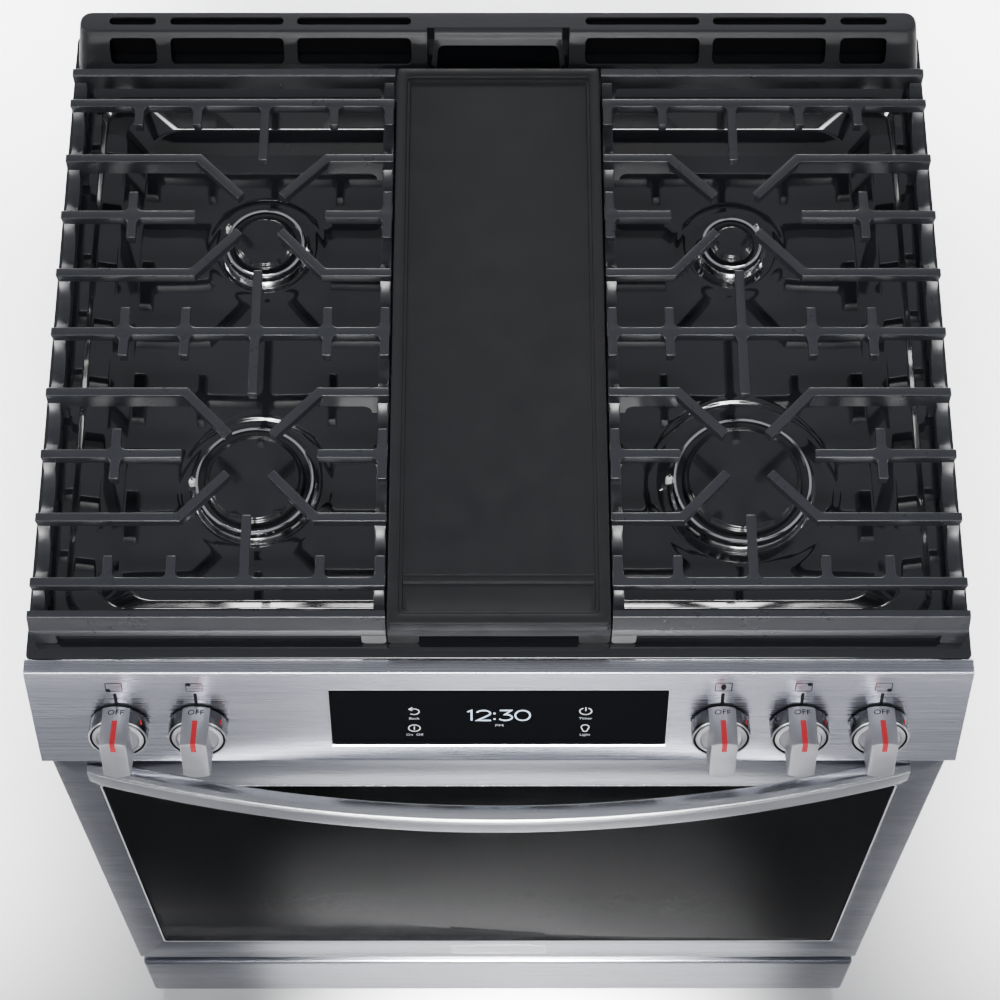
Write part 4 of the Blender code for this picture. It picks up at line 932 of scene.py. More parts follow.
def burners():
    """Aluminium heads with a crown of flame ports, ceramic igniters, and loose enamelled caps."""
    floor, top = BURNER_FOOT, BURNER_TOP
    for name in BURNERS:
        x, y = centre_of("burner_head_" + name)
        ring = span("burner_head_" + name)[1].x - x
        cap = span("burner_cap_" + name)[1].x - x
        here = Matrix.Translation((x, y, 0))
        skirt = [
            (ring + 0.0034, floor), (ring + 0.0052, floor + 0.0004),
            (ring + 0.0052, floor + 0.0012), (ring + 0.002, floor + 0.0054),
            (ring + 0.0012, floor + 0.0062),
        ]
        lip = [
            (ring + 0.0004, top - 0.0022), (ring + 0.0006, top - 0.0012),
            (ring + 0.0002, top - 0.0003), (ring - 0.001, top), (ring - 0.0019, top - 0.0003),
        ]
        well = [
            (ring - 0.0019, top - 0.0003), (ring - 0.0021, top - 0.0012),
            (ring - 0.0023, top - 0.003), (cap - 0.003, top - 0.0042), (0.006, top - 0.0042),
        ]
        bm = bmesh.new()
        turned(bm, eased(skirt, 0.0005, 2), 96, here, caps=(True, False))
        # The port band and the well inside the lip take the dark cap enamel (material 1): painted shade for
        # the shadowed flame ports and the gap under the cap.
        ports = []
        sides = FLAME_PORTS * 6
        for radius, z in ((ring + 0.0012, floor + 0.0062), (ring + 0.0004, top - 0.0022)):
            points = []
            for i in range(sides):
                reach = radius - (0.0007 if i % 6 in (0, 1) else 0.0)
                angle = 2 * math.pi * i / sides
                points.append((x + reach * math.cos(angle), y + reach * math.sin(angle), z))
            ports.append(points)
        loft(bm, ports, caps=(False, False), index=1)
        turned(bm, lip, 96, here, caps=(False, False))
        turned(bm, well, 96, here, index=1, caps=(False, True))
        metal_and_port_shade = [ALUMINIUM, CAP_ENAMEL_AND_PORT_SHADE]
        finished("burner_ring_" + name, bm, metal_and_port_shade, "body", ["burner_head_" + name], 40)

        angle = math.radians(IGNITER_ANGLES[name])
        spot = Vector((x + (ring + 0.0036) * math.cos(angle), y + (ring + 0.0036) * math.sin(angle), 0))
        bm = bmesh.new()
        pin = [(0.0032, floor), (0.0032, floor + 0.006), (0.0026, floor + 0.008), (0.0012, floor + 0.0086)]
        turned(bm, pin, 20, Matrix.Translation(spot))
        tip = [(0.001, floor + 0.008), (0.001, top + 0.0006), (0.0005, top + 0.0012)]
        turned(bm, tip, 12, Matrix.Translation(spot), index=1)
        finished("igniter_" + name, bm, [CERAMIC, POLISHED], "body")

        shoulder = [
            (cap - 0.0016, top - 0.0026), (cap, top - 0.0016), (cap + 0.0002, top - 0.0004),
            (cap - 0.001, top + 0.0012), (cap - 0.0032, top + 0.0022), (cap - 0.0044, top + 0.0034),
            (cap - 0.0056, top + 0.0039), (cap * 0.5, top + 0.0043), (0.001, top + 0.0045),
        ]
        bm = bmesh.new()
        turned(bm, eased(shoulder, 0.0008, 2), 72, here)
        node = "burner_cap_" + name
        finished("burner_lid_" + name, bm, CAP_ENAMEL_AND_PORT_SHADE, "cap_" + name, [node], 50)


def stadium(half_x, half_y, centre_y, steps=12):
    """A long plan shape along Y with round ends."""
    outline = arc((0, centre_y + half_y - half_x), half_x, 0, 180, steps)
    return outline + arc((0, centre_y - half_y + half_x), half_x, 180, 360, steps)


def oval_burner():
    """The long head and cap of the burner under the griddle."""
    _, y = centre_of("burner_head_centre")
    low, high = span("burner_head_centre")
    half_x, half_y = high.x, (high.y - low.y) / 2

    def solid(levels):
        bm = bmesh.new()
        rings = []
        for shrink, z in levels:
            rings.append([(px, py, z) for px, py in stadium(half_x - shrink, half_y - shrink, y)])
        loft(bm, rings)
        return bm

    foot = ((0.003, BURNER_FOOT), (0.001, BURNER_FOOT + 0.003))
    head = solid((*foot, (0, -0.012), (0.0006, -0.0104), (0.003, -0.01)))
    finished("burner_ring_centre", head, ALUMINIUM, "body", ["burner_head_centre"], 40)
    cap = solid(((0.007, -0.0096), (0.006, -0.0082), (0.0066, -0.006), (0.01, -0.004)))
    finished("burner_lid_centre", cap, CAP_ENAMEL_AND_PORT_SHADE, "cap_centre", ["burner_cap_centre"], 40)


# ---------------------------------------------------------------------------- grates
GRATE_LOW, GRATE_HIGH = span("right_grate")
TOP = GRATE_HIGH.z
BAR = 0.008
FIRST_BAR_Y = 0.5176
BAR_PITCH = 0.05695
FINGER_BEND = 0.055
FINGER_TIP = 0.0174
TOOTH_OFFSETS = (0.109, 0.0585, 0, -0.06, -0.1078)
SHORT_TOOTH = 0.023
LONG_TOOTH = 0.059
BAR_BEVEL = 0.001
BAR_BOTTOM = TOP - 0.0115


def bar_y(number):
    """The place of a cross bar, numbered from 1 at the back to 9 at the front."""
    return FIRST_BAR_Y - (number - 1) * BAR_PITCH


def grate_plan(outer, inner):
    """Plan outlines of all the bars of one grate that share its flat top."""
    shapes = []
    for number in range(1, 10):
        y = bar_y(number)
        if number % 4 == 1:
            shapes.append(strip([(outer, y), (inner, y)], BAR))
            continue
        burner_x, burner_y = centre_of("burner_head_right_rear" if number < 5 else "burner_head_right_front")
        for end, side in ((outer, 1), (inner, -1)):
            bend = (burner_x + side * FINGER_BEND, y)
            route = [(end, y), bend]
            if number % 2 == 0:
                tip_y = burner_y + math.copysign(FINGER_TIP, y - burner_y)
                route.append((burner_x + side * FINGER_TIP, tip_y))
            shapes.append(strip(route if side > 0 else route[::-1], BAR))
            if number % 2:
                x = burner_x + TOOTH_OFFSETS[0 if side > 0 else -1]
                shapes.append(strip([(x, y - SHORT_TOOTH), (x, y + SHORT_TOOTH)], BAR))
    burner_x = centre_of("burner_head_right_rear")[0]
    for offset in TOOTH_OFFSETS:
        x = burner_x + offset
        reach = LONG_TOOTH if offset == 0 else SHORT_TOOTH
        shapes.append(strip([(x, bar_y(1)), (x, bar_y(1) - reach)], BAR))
        shapes.append(strip([(x, bar_y(5) - reach), (x, bar_y(5) + reach)], BAR))
        shapes.append(strip([(x, bar_y(9)), (x, bar_y(9) + reach)], BAR))
    return shapes


def blade(bm, ends, y, legs):
    """The deep web under a finger's straight stretch, widening to a leg at its outer end."""
    end, bend = ends
    side = 1 if end > bend else -1
    top, bottom, foot = TOP - 0.0012, TOP - 0.0165, TOP - legs
    reach = 0.015
    outline = [(bend, top), (bend, bottom)]
    curve = arc((end - side * (reach + 0.008), bottom - 0.008), 0.008, 90, 90 - 75 * side, 6)
    outline += curve
    outline += [(end - side * reach, foot), (end - side * 0.0004, foot), (end - side * 0.0004, top)]
    lean = 0.1
    rings = []
    for front in (True, False):
        ring = []
        for x, z in outline:
            depth = (y - BAR / 2 + 0.0004 - (top - z) * lean) if front else (y + BAR / 2 - 0.0012)
            ring.append((x, depth, z))
        rings.append(ring)
    loft(bm, rings)


def side_rail(bm, xs):
    """The wall under the bars' ends: its top dips in an arc between each pair of bars."""
    top_line = []
    stations = [0.5498] + [bar_y(n) for n in range(1, 10)] + [0.033]
    crest, dip = TOP - 0.008, 0.013
    steps = 10
    for rear, front in zip(stations, stations[1:]):
        depth = dip * min(1.0, (rear - front) / BAR_PITCH * 0.95)
        for i in range(steps):
            t = i / steps
            top_line.append((rear + (front - rear) * t, crest - depth * math.sin(math.pi * t) ** 0.8))
    top_line.append((stations[-1], crest))
    bottom = 0.01
    outline = top_line + [(stations[-1], bottom), (stations[0], bottom)]
    faces = extrude(bm, outline, "x", *xs)
    edges = dict.fromkeys(e for f in faces for e in f.edges if e.verts[0].co.x == e.verts[1].co.x)
    edges = [e for e in edges if max(v.co.z for v in e.verts) > bottom + 0.002]
    bmesh.ops.bevel(bm, geom=edges, offset=0.0012, segments=2, profile=0.5, affect="EDGES")


def foot_tab(width):
    """The outline of a tab that hangs below a rail, with round lower corners."""
    left = arc((0.004, 0.0042), 0.0039, 180, 270, 5)
    right = arc((width - 0.0039, 0.0042), 0.0039, -90, 0, 5)
    return [(0, 0.017), (0, 0.004), *left, *right, (width, 0.017)]


def front_rail(bm, xs):
    """The tall front bar: a narrow top, a long sloping face and a foot tab at each end."""
    front = GRATE_LOW.y
    section = [
        (0.0371, TOP), (0.0313, TOP), (front + 0.0001, TOP - 0.014), (front, 0.0156),
        (front + 0.006, 0.015), (0.0371, 0.02),
    ]
    outline = eased(section + section[:1], 0.0009, 3)[:-1]
    extrude(bm, outline, "x", *xs)
    for end, side in ((xs[0], 1), (xs[1], -1)):
        points = [(end + side * x, z) for x, z in foot_tab(0.0197)]
        extrude(bm, points, "y", front + 0.0002, front + 0.007)


def rear_rail(bm, xs):
    """The plain bar along the back, on a tapered foot at each end."""
    section = [(0.5539, 0.0012), (0.5529, 0), (0.5468, 0), (0.5457, 0.0012)]
    section += [(0.546, 0.02), (0.5536, 0.02)]
    extrude(bm, [(y, TOP - down) for y, down in section], "x", *xs)
    for end, side in ((xs[0], 1), (xs[1], -1)):
        foot = [(0, TOP - 0.018), (0.015, TOP - 0.018), (0.013, GAP), (0.001, GAP)]
        extrude(bm, [(end + side * x, z) for x, z in foot], "y", 0.5466, 0.553)


def grates():
    """Two mirrored castings: barred tops over scalloped side walls, rails and feet."""
    outer, inner = GRATE_HIGH.x, GRATE_LOW.x
    loops = [softened(loop, 0.0011, 0.0045) for loop in union_loops(grate_plan(outer, inner))]
    levels = (
        (BAR_BEVEL, TOP), (BAR_BEVEL * 0.45, TOP - BAR_BEVEL * 0.12),
        (BAR_BEVEL * 0.12, TOP - BAR_BEVEL * 0.45), (0, TOP - BAR_BEVEL),
        (0.0009, BAR_BOTTOM + 0.0008), (0.0017, BAR_BOTTOM),
    )
    for name, side in (("left", -1), ("right", 1)):
        bm = bmesh.new()
        plate(bm, loops, levels)
        xs = (inner, outer)
        front_rail(bm, xs)
        rear_rail(bm, xs)
        side_rail(bm, (outer - 0.011, outer - 0.0012))
        side_rail(bm, (inner + 0.0012, inner + 0.01))
        burner_x = centre_of("burner_head_right_rear")[0]
        for number in (2, 6):
            blade(bm, (outer, burner_x + FINGER_BEND), bar_y(number), 0.033)
            blade(bm, (inner, burner_x - FINGER_BEND), bar_y(number), 0.026)
        for rail_x, floor in ((outer - 0.006, GAP), (inner + 0.0056, BURNER_FOOT)):
            for number in (1, 3.5, 5, 7.5, 9):
                y = bar_y(number)
                foot = [(y - 0.0055, 0.014), (y - 0.0045, floor), (y + 0.0045, floor), (y + 0.0055, 0.014)]
                extrude(bm, foot, "x", rail_x - 0.004, rail_x + 0.004)
        bmesh.ops.scale(bm, verts=bm.verts, vec=(side, 1, 1))
        in_order(bm)
        grate = name + "_grate"
        finished(grate + "_casting", bm, GRATE_IRON, grate, [grate], 38)


def griddle():
    """A cast plate: flat rim, a double step down to its face, and a trough across its front."""
    low, high = span("griddle")
    half, front, back = high.x, low.y, high.y
    face, trough = TOP - 0.004, TOP - 0.007
    ridge_back, ridge_front = 0.0705, 0.0648

    def floor_z(y):
        if y > ridge_back:
            return face
        if y > ridge_back - 0.0009:
            return face - 0.0012 * (ridge_back - y) / 0.0009
        if y > ridge_front:
            return face - 0.0012
        if y > ridge_front - 0.0016:
            return face - 0.0012 - (face - 0.0012 - trough) * (ridge_front - y) / 0.0016
        return trough

    bm = bmesh.new()
    stops = [ridge_front - 0.0016, ridge_front, ridge_back - 0.0009, ridge_back]

    def points(inset_by, z, radius, follow=False):
        half_x, low_y, high_y = half - inset_by, front + inset_by, back - inset_by
        corners = rounded(half_x, low_y, high_y, radius, 5)
        outline = corners[:6] + [(half_x, s) for s in stops] + corners[6:18]
        outline += [(-half_x, s) for s in stops[::-1]] + corners[18:]
        return [(x, y, z + (floor_z(y) - face if follow else 0)) for x, y in outline]

    outside = [(0.0016, 0.025), (0.0002, 0.014), (0, 0.0012), (0.0004, 0.0004), (0.0012, 0)]
    inside_lip = [(0.0084, 0), (0.0088, 0.0003), (0.0094, 0.0019), (0.0112, 0.002), (0.0116, 0.0022)]
    rings = [points(inward, TOP - down, 0.003) for inward, down in outside]
    rings += [points(inward, TOP - down, 0.004) for inward, down in inside_lip]
    rings += [points(0.0122, face + 0.0004, 0.004, True), points(0.013, face, 0.004, True)]
    loft(bm, rings, caps=(True, False))
    boundary = [Vector((x, y)) for x, y, _ in rings[-1]]
    flat_fill(bm, [boundary], lambda x, y: floor_z(y))
    rail = [(0.0371, TOP - 0.006), (0.0313, TOP - 0.0004), (front, TOP - 0.014), (front, 0.0156)]
    rail.append((front + 0.006, 0.015))
    extrude(bm, rail, "x", -half, half)
    for side in (-1, 1):
        tab = [(side * (half - x), z) for x, z in foot_tab(0.0247)]
        extrude(bm, tab, "y", front + 0.0002, front + 0.007)
        extrude(bm, tab, "y", back - 0.007, back - 0.001)
    finished("griddle_casting", bm, GRIDDLE_IRON, "griddle", ["griddle"], 38)


# ---------------------------------------------------------------------------- vent trim
TRIM_LOW, TRIM_HIGH = span("vent_trim")
TRIM_SLOTS = ((0.303, 0.3443), (0.19, 0.2905), (0.0771, 0.1783))
SLOPE_FOOT = (0.577, 0.01)
SLOPE_TOP = (0.5942, 0.038)


def slope_y(z):
    """Where the trim's sloping front is at a height."""
    share = (z - SLOPE_FOOT[1]) / (SLOPE_TOP[1] - SLOPE_FOOT[1])
    return SLOPE_FOOT[0] + share * (SLOPE_TOP[0] - SLOPE_FOOT[0])


def trim_shell(shrink):
    """The outer form of the trim, or with shrink the hollow inside it, open below."""
    half, back, top = TRIM_HIGH.x - shrink, TRIM_HIGH.y - shrink, TRIM_HIGH.z - shrink
    lowest = -0.01 if shrink else GAP
    stations = [
        (half, TRIM_LOW.y + shrink, back, 0.004, lowest),
        (half, SLOPE_FOOT[0] + shrink, back, 0.007, SLOPE_FOOT[1]),
        (half - 0.003, SLOPE_TOP[0] - 0.0022 + shrink, back, 0.01, top - 0.003),
        (half - 0.0036, SLOPE_TOP[0] - 0.0006 + shrink, back - 0.0002, 0.0098, top - 0.001),
        (half - 0.0048, SLOPE_TOP[0] + 0.001 + shrink, back - 0.001, 0.009, top - 0.0001),
        (half - 0.007, SLOPE_TOP[0] + 0.003 + shrink, back - 0.0028, 0.008, top),
    ]
    shape = bmesh.new()
    levels = []
    for half_x, low_y, high_y, radius, z in stations:
        levels.append((half_x, low_y, high_y, min(radius, (high_y - low_y) * 0.45), z))
    loft(shape, stacked(levels))
    return shape


def vent_trim():
    """A pressed, enamelled hood along the back: round slots on top, windows and a scoop in front."""
    top = TRIM_HIGH.z
    bm = boolean(trim_shell(0), trim_shell(0.0015), "DIFFERENCE")
    cutters = bmesh.new()
    for side in (-1, 1):
        for near, far in TRIM_SLOTS:
            middle, reach = side * (near + far) / 2, (far - near) / 2
            slot = rounded(reach, 0.602, 0.61, 0.0039, 5, middle)
            extrude(cutters, slot, "z", top - 0.006, top + 0.01)
            extrude(cutters, rounded(reach, 0.0112, 0.0334, 0.0042, 5, middle), "y", 0.56, 0.598)
    notch = [(0.56, 0.005), (0.596, 0.005), (0.599, 0.034), (0.599, 0.05), (0.56, 0.05)]
    extrude(cutters, notch, "x", -0.0632, 0.0632)
    bm = boolean(bm, cutters, "DIFFERENCE")

    # A black box behind the front windows: painted shadow for the dark inside of the hood seen through them.
    painted_shadow_box = bmesh.new()
    for side in (-1, 1):
        middle = side * 0.2105
        extrude(painted_shadow_box, rounded(0.144, 0.599, 0.6135, 0.002, 2, middle), "z", 0.002, top - 0.008)
    finished("vent_shadow_box", painted_shadow_box, BLACK_PRINT_AND_SHADE, "body")

    # The scoop's roof rolls down from the top to the frame round its mouth.
    roof = [(0.601, top - 0.0002), (0.5965, top - 0.0006), (0.5935, top - 0.0024), (0.5908, 0.0318)]
    under = [(y + 0.0006, z - 0.0014) for y, z in reversed(roof)]
    extrude(bm, roof + under, "x", -0.0562, 0.0562)
    for side in (-1, 1):
        cheek = [(slope_y(0.006), 0.006), (slope_y(0.03) + 0.001, 0.0305)]
        cheek += [(0.601, top - 0.002), (0.601, 0.006)]
        extrude(bm, cheek, "x", *sorted((side * 0.0628, side * 0.064)))
        extrude(bm, cheek, "x", *sorted((side * 0.0556, side * 0.0568)))
    outer = [(-0.0592, 0.011), (-0.057, 0.025)] + arc((-0.053, 0.0288), 0.003, 170, 90, 4)
    inner = [(-0.0548, 0.011), (-0.0538, 0.021)] + arc((-0.048, 0.0232), 0.0056, 175, 90, 4)
    outer += [(-x, z) for x, z in reversed(outer)]
    inner += [(-x, z) for x, z in reversed(inner)]
    rings = []
    for (outer_x, outer_z), (inner_x, inner_z) in zip(outer, inner):
        rings.append([
            (outer_x, slope_y(outer_z) + 0.0006, outer_z),
            (inner_x, slope_y(inner_z) - 0.0022, inner_z),
            (inner_x, slope_y(inner_z) + 0.001, inner_z - 0.0004),
            (outer_x, slope_y(outer_z) + 0.003, outer_z - 0.0006),
        ])
    loft(bm, rings)
    finished("vent_hood", bm, TRIM_ENAMEL, "body", ["vent_trim"], 30)


# ---------------------------------------------------------------------------- door
DOOR_LOW, DOOR_HIGH = span("door_skin")
GLASS_LOW, GLASS_HIGH = span("door_outer_glass")
HANDLE_LOW, HANDLE_HIGH = span("door_handle")
HANDLE_END_FRONT = -0.039
HANDLE_DEPTH = 0.016


def across(half_x, low_z, high_z, radius, y, steps=4):
    """A rounded rectangle that stands across Y."""
    return [(x, y, z) for x, z in rounded(half_x, low_z, high_z, radius, steps)]


def door_skin():
    """The stainless pan of the door with a rolled edge, a window opening and a ledge for the glass."""
    half, low, high = DOOR_HIGH.x, DOOR_LOW.z, DOOR_HIGH.z
    face, back = DOOR_LOW.y, DOOR_HIGH.y
    pane_half, pane_low, pane_high = GLASS_HIGH.x + GAP, GLASS_LOW.z - GAP, GLASS_HIGH.z + GAP

    def outside(shrink, radius, y):
        return (half - shrink, low + shrink, high - shrink, radius, y)

    def opening(grow, radius, y):
        return (pane_half + grow, pane_low - grow, pane_high + grow, radius, y)

    stations = [
        outside(0.0012, 0.0015, back),
        outside(0, 0.002, back),
        outside(0, 0.003, face + 0.0026),
        outside(0.0008, 0.0035, face + 0.0008),
        outside(0.0026, 0.004, face),
        opening(0.0014, 0.004, face),
        opening(0.0004, 0.0036, face + 0.0004),
        opening(0, 0.0034, face + 0.0012),
        opening(0, 0.0034, face + 0.005),
        opening(-0.008, 0.0034, face + 0.005),
        opening(-0.008, 0.0034, face + 0.0068),
        outside(0.0012, 0.0034, face + 0.0068),
    ]
    bm = bmesh.new()
    loft(bm, [across(*s[:4], s[4], 5) for s in stations], closed=True)
    cutter = bmesh.new()
    for side in (-1, 1):
        left, right = side * 0.33 - 0.005, side * 0.33 + 0.005
        corners = [(left, -0.011), (right, -0.011), (right, 0.03), (left, 0.03)]
        extrude(cutter, corners, "z", low - 0.01, low + 0.0275)
    bm = boolean(bm, cutter, "DIFFERENCE")
    finished("door_skin_sheet", bm, DOOR_STEEL, "door", ["door_skin"], 30)

    bm = bmesh.new()
    rim = [
        opening(-0.0001, 0.0034, face + 0.003),
        opening(-0.0001, 0.0034, face + 0.0003),
        opening(-0.0003, 0.0033, face + 0.0001),
        opening(-0.0014, 0.003, face + 0.0001),
        opening(-0.0017, 0.0028, face + 0.0004),
        opening(-0.0017, 0.0028, face + 0.003),
    ]
    loft(bm, [across(*s[:4], s[4], 5) for s in rim], closed=True)
    finished("window_trim", bm, POLISHED, "door", sharp=30)


def door_window():
    """The tinted outer pane with an eased edge, and the dark printed border behind it."""
    face = DOOR_LOW.y
    inset_by = 0.002
    half, low, high = GLASS_HIGH.x - inset_by, GLASS_LOW.z + inset_by, GLASS_HIGH.z - inset_by
    bm = bmesh.new()
    levels = ((0, face + 0.0044), (0, face + 0.0012), (0.0003, face + 0.0008), (0.0008, face + 0.0006))
    rings = [across(half - s, low + s, high - s, 0.0028, y, 5) for s, y in levels]
    loft(bm, rings)
    finished("window_pane", bm, OUTER_GLASS, "door", ["door_outer_glass"], 30)

    bm = bmesh.new()
    clear_half, clear_low, clear_high = 0.275, -0.595, -0.235
    y = face + 0.0046
    rings = [
        across(half - 0.001, low + 0.001, high - 0.001, 0.0028, y, 5),
        across(clear_half, clear_low, clear_high, 0.006, y, 5),
        across(clear_half, clear_low, clear_high, 0.006, y + 0.0002, 5),
        across(half - 0.001, low + 0.001, high - 0.001, 0.0028, y + 0.0002, 5),
    ]
    loft(bm, rings, closed=True)
    finished("window_border", bm, FRIT, "door", sharp=30)


def badge():
    """A blank raised plate with a bright rim, low in the middle of the door."""
    face = DOOR_LOW.y
    middle_z, tall, wide = -0.6955, 0.0148, 0.0492

    def ring(shrink, out, radius):
        low_z, high_z = middle_z - tall + shrink, middle_z + tall - shrink
        return across(wide - shrink, low_z, high_z, radius, face + out)

    bm = bmesh.new()
    base = ((0, 0.0002), (0, -0.0004), (0.0004, -0.0006), (0.002, -0.0006))
    loft(bm, [ring(*level, 0.0022) for level in base])
    # The border is light matt grey (material 1): painted highlight for the bright rim.
    border = ((0.0002, -0.0004), (0.0002, -0.0009), (0.0014, -0.0009), (0.0014, -0.0004))
    loft(bm, [ring(*level, 0.0021) for level in border], closed=True, index=1)
    finished("blank_plate", bm, [POLISHED, RIM_HIGHLIGHT_GREY], "door", sharp=30)


def handle_front(x, half):
    """How far forward the bowed bar of the handle reaches at x."""
    bow = HANDLE_END_FRONT - HANDLE_LOW.y
    return HANDLE_END_FRONT - bow * (1 - (x / half) ** 2)


def door_handle():
    """A bowed flat bar with a crowned front and a crest along its top, on two end blocks."""
    half, low, high = HANDLE_HIGH.x, HANDLE_LOW.z, HANDLE_HIGH.z
    height = high - low
    section = [
        (HANDLE_DEPTH - 0.002, 0.0000), (HANDLE_DEPTH, -0.002), (HANDLE_DEPTH, -height + 0.003),
        (HANDLE_DEPTH - 0.003, -height), (0.005, -height), (0.0014, -height + 0.0026),
        (0.0000, -height + 0.009), (0.0000, -0.005), (0.0008, -0.0022), (0.0026, -0.0008),
        (0.007, 0.0000),
    ]
    outline = eased(section + section[:1], 0.0012, 3)[1:-1]
    stations = [half * step / 32 for step in range(-32, 33)]
    bm = bmesh.new()
    rings = []
    for x in stations:
        end = max(0.0, (abs(x) - half + 0.003) / 0.003)
        pinch = 0.0012 * end ** 2
        front = handle_front(x, half)
        ring = []
        for depth, z in outline:
            y = front + pinch + depth * (HANDLE_DEPTH - 2 * pinch) / HANDLE_DEPTH
            squeezed = high - pinch + z * (height - 2 * pinch) / height
            ring.append((x, min(y, DOOR_LOW.y - 0.0006), squeezed))
        rings.append(ring)
    loft(bm, rings)
    finished("handle_bar", bm, HANDLE_STEEL, "door", ["door_handle"], 30)

    bm = bmesh.new()
    for side in (-1, 1):
        xs = sorted((side * (half - 0.026), side * (half - 0.004)))
        ys = (handle_front(xs[0], half) + 0.006, DOOR_LOW.y + 0.0005)
        rounded_box(bm, xs, ys, (low + 0.004, high - 0.004), 0.0015, 3)
    finished("handle_posts", bm, HANDLE_STEEL, "door", sharp=30)


# ---------------------------------------------------------------------------- drawer, racks
def drawer_front():
    """The stainless front of the drawer, hollow behind, with a wide rolled top edge."""
    low, high = span("drawer_front")
    half, wall = high.x, 0.0012
    face, back = low.y, high.y

    def ring(shrink, radius, y):
        return across(half - shrink, low.z + shrink, high.z - shrink, radius, y, 5)

    rings = [
        ring(wall + 0.0004, 0.002, face + wall),
        ring(wall, 0.002, face + wall + 0.0005),
        ring(wall, 0.002, back),
        ring(0, 0.003, back),
        ring(0, 0.0036, face + 0.0034),
        ring(0.0007, 0.004, face + 0.0014),
        ring(0.0018, 0.0044, face + 0.0004),
        ring(0.0036, 0.005, face),
    ]
    bm = bmesh.new()
    loft(bm, rings)
    finished("drawer_front_sheet", bm, DOOR_STEEL, "drawer", ["drawer_front"], 30)


def oven_racks():
    """Chrome wire shelves: a round frame, cross wires, and long wires that turn up at the back."""
    for name in ("lower_oven_rack", "upper_oven_rack"):
        low, high = span(name)
        wire, thin = 0.0024, 0.0015
        level = low.z + wire
        half, front, back = high.x - wire, low.y + wire, high.y - wire
        bm = bmesh.new()
        frame_route = [(x, y, level) for x, y in rounded(half, front, back, 0.01, 4)]
        tube(bm, frame_route, wire, 10, closed=True)
        for y in (front + 0.13, front + 0.26):
            tube(bm, [(-half, y, level - 0.0003), (half, y, level - 0.0003)], 0.002, 8)
        wires = 23
        for i in range(wires):
            x = -half + (i + 1) * 2 * half / (wires + 1)
            top = high.z - thin - wire
            route = [(x, front, level + 0.0022), (x, back - 0.006, level + 0.0022)]
            route += [(x, back - 0.003, level + 0.003), (x, back - 0.0012, level + 0.005)]
            route.append((x, back - 0.001, top))
            tube(bm, route, thin, 8)
        end = half - 0.018
        tube(bm, [(x, back - 0.001, high.z - wire) for x in (-end, end)], 0.002, 8)
        finished(name + "_wires", bm, CHROME, "body", [name], 40)


# ---------------------------------------------------------------------------- sides, back, underside
def screw_head(bm, matrix, radius=0.0042, index=0):
    """A hexagon washer head with its face along the matrix's Z."""
    start = len(bm.verts)
    washer = [(radius, 0), (radius, 0.0004), (radius * 0.94, 0.0007)]
    turned(bm, washer, 24, index=index)
    hexagon = [(radius * 0.68, 0.0006), (radius * 0.68, 0.0024), (radius * 0.6, 0.0028)]
    turned(bm, hexagon, 6, index=index)
    placed(bm, matrix, start)


def facing(x, y, z, direction):
    """A frame at a point whose Z looks along a direction."""
    return Matrix.Translation((x, y, z)) @ Vector(direction).to_track_quat("Z", "Y").to_matrix().to_4x4()


def side_panels():
    """Painted sheet sides with rolled corners, a shallow pressed field and screws along the edges."""
    for name, side in (("left", -1), ("right", 1)):
        low, high = span(name + "_side_panel")
        wall = max(abs(low.x), abs(high.x))
        inner = wall - 0.001
        lip = min(abs(low.x), abs(high.x))
        front, back = low.y, high.y
        outline = [
            (lip, front), (wall - 0.002, front), (wall - 0.0006, front + 0.0006),
            (wall, front + 0.002), (wall, back - 0.002), (wall - 0.0006, back - 0.0006),
            (wall - 0.002, back), (lip, back), (lip, back - 0.001), (inner, back - 0.0012),
            (inner, front + 0.0012), (lip, front + 0.001),
        ]
        bm = bmesh.new()
        extrude(bm, [(side * x, y) for x, y in outline], "z", low.z, high.z)
        middle_y = (front + back) / 2
        half_y = (back - front) / 2 - 0.055
        bottom, top = low.z + 0.1, high.z - 0.13
        rings = []
        for grow, out in ((0, -0.0004), (0, 0.0000), (-0.001, 0.0005), (-0.006, 0.001), (-0.0072, 0.0011)):
            ring = rounded(half_y + grow, bottom - grow, top + grow, 0.03 + grow, 6, 0)
            rings.append([(side * (wall + out), middle_y + y, z) for y, z in ring])
        loft(bm, rings)
        finished(name + "_side_sheet", bm, SIDE_PAINT, "body", [name + "_side_panel"], 30)

        bm = bmesh.new()
        places = [(back - 0.014, low.z + 0.03 + i * 0.16) for i in range(6)]
        places += [(front + 0.016, low.z + 0.03), (front + 0.016, -0.135), (middle_y, low.z + 0.016)]
        for y, z in places:
            screw_head(bm, facing(side * (wall - 0.0002), y, z, (side, 0, 0)), 0.0038)
        finished(name + "_side_screws", bm, ZINC, "body", sharp=30)


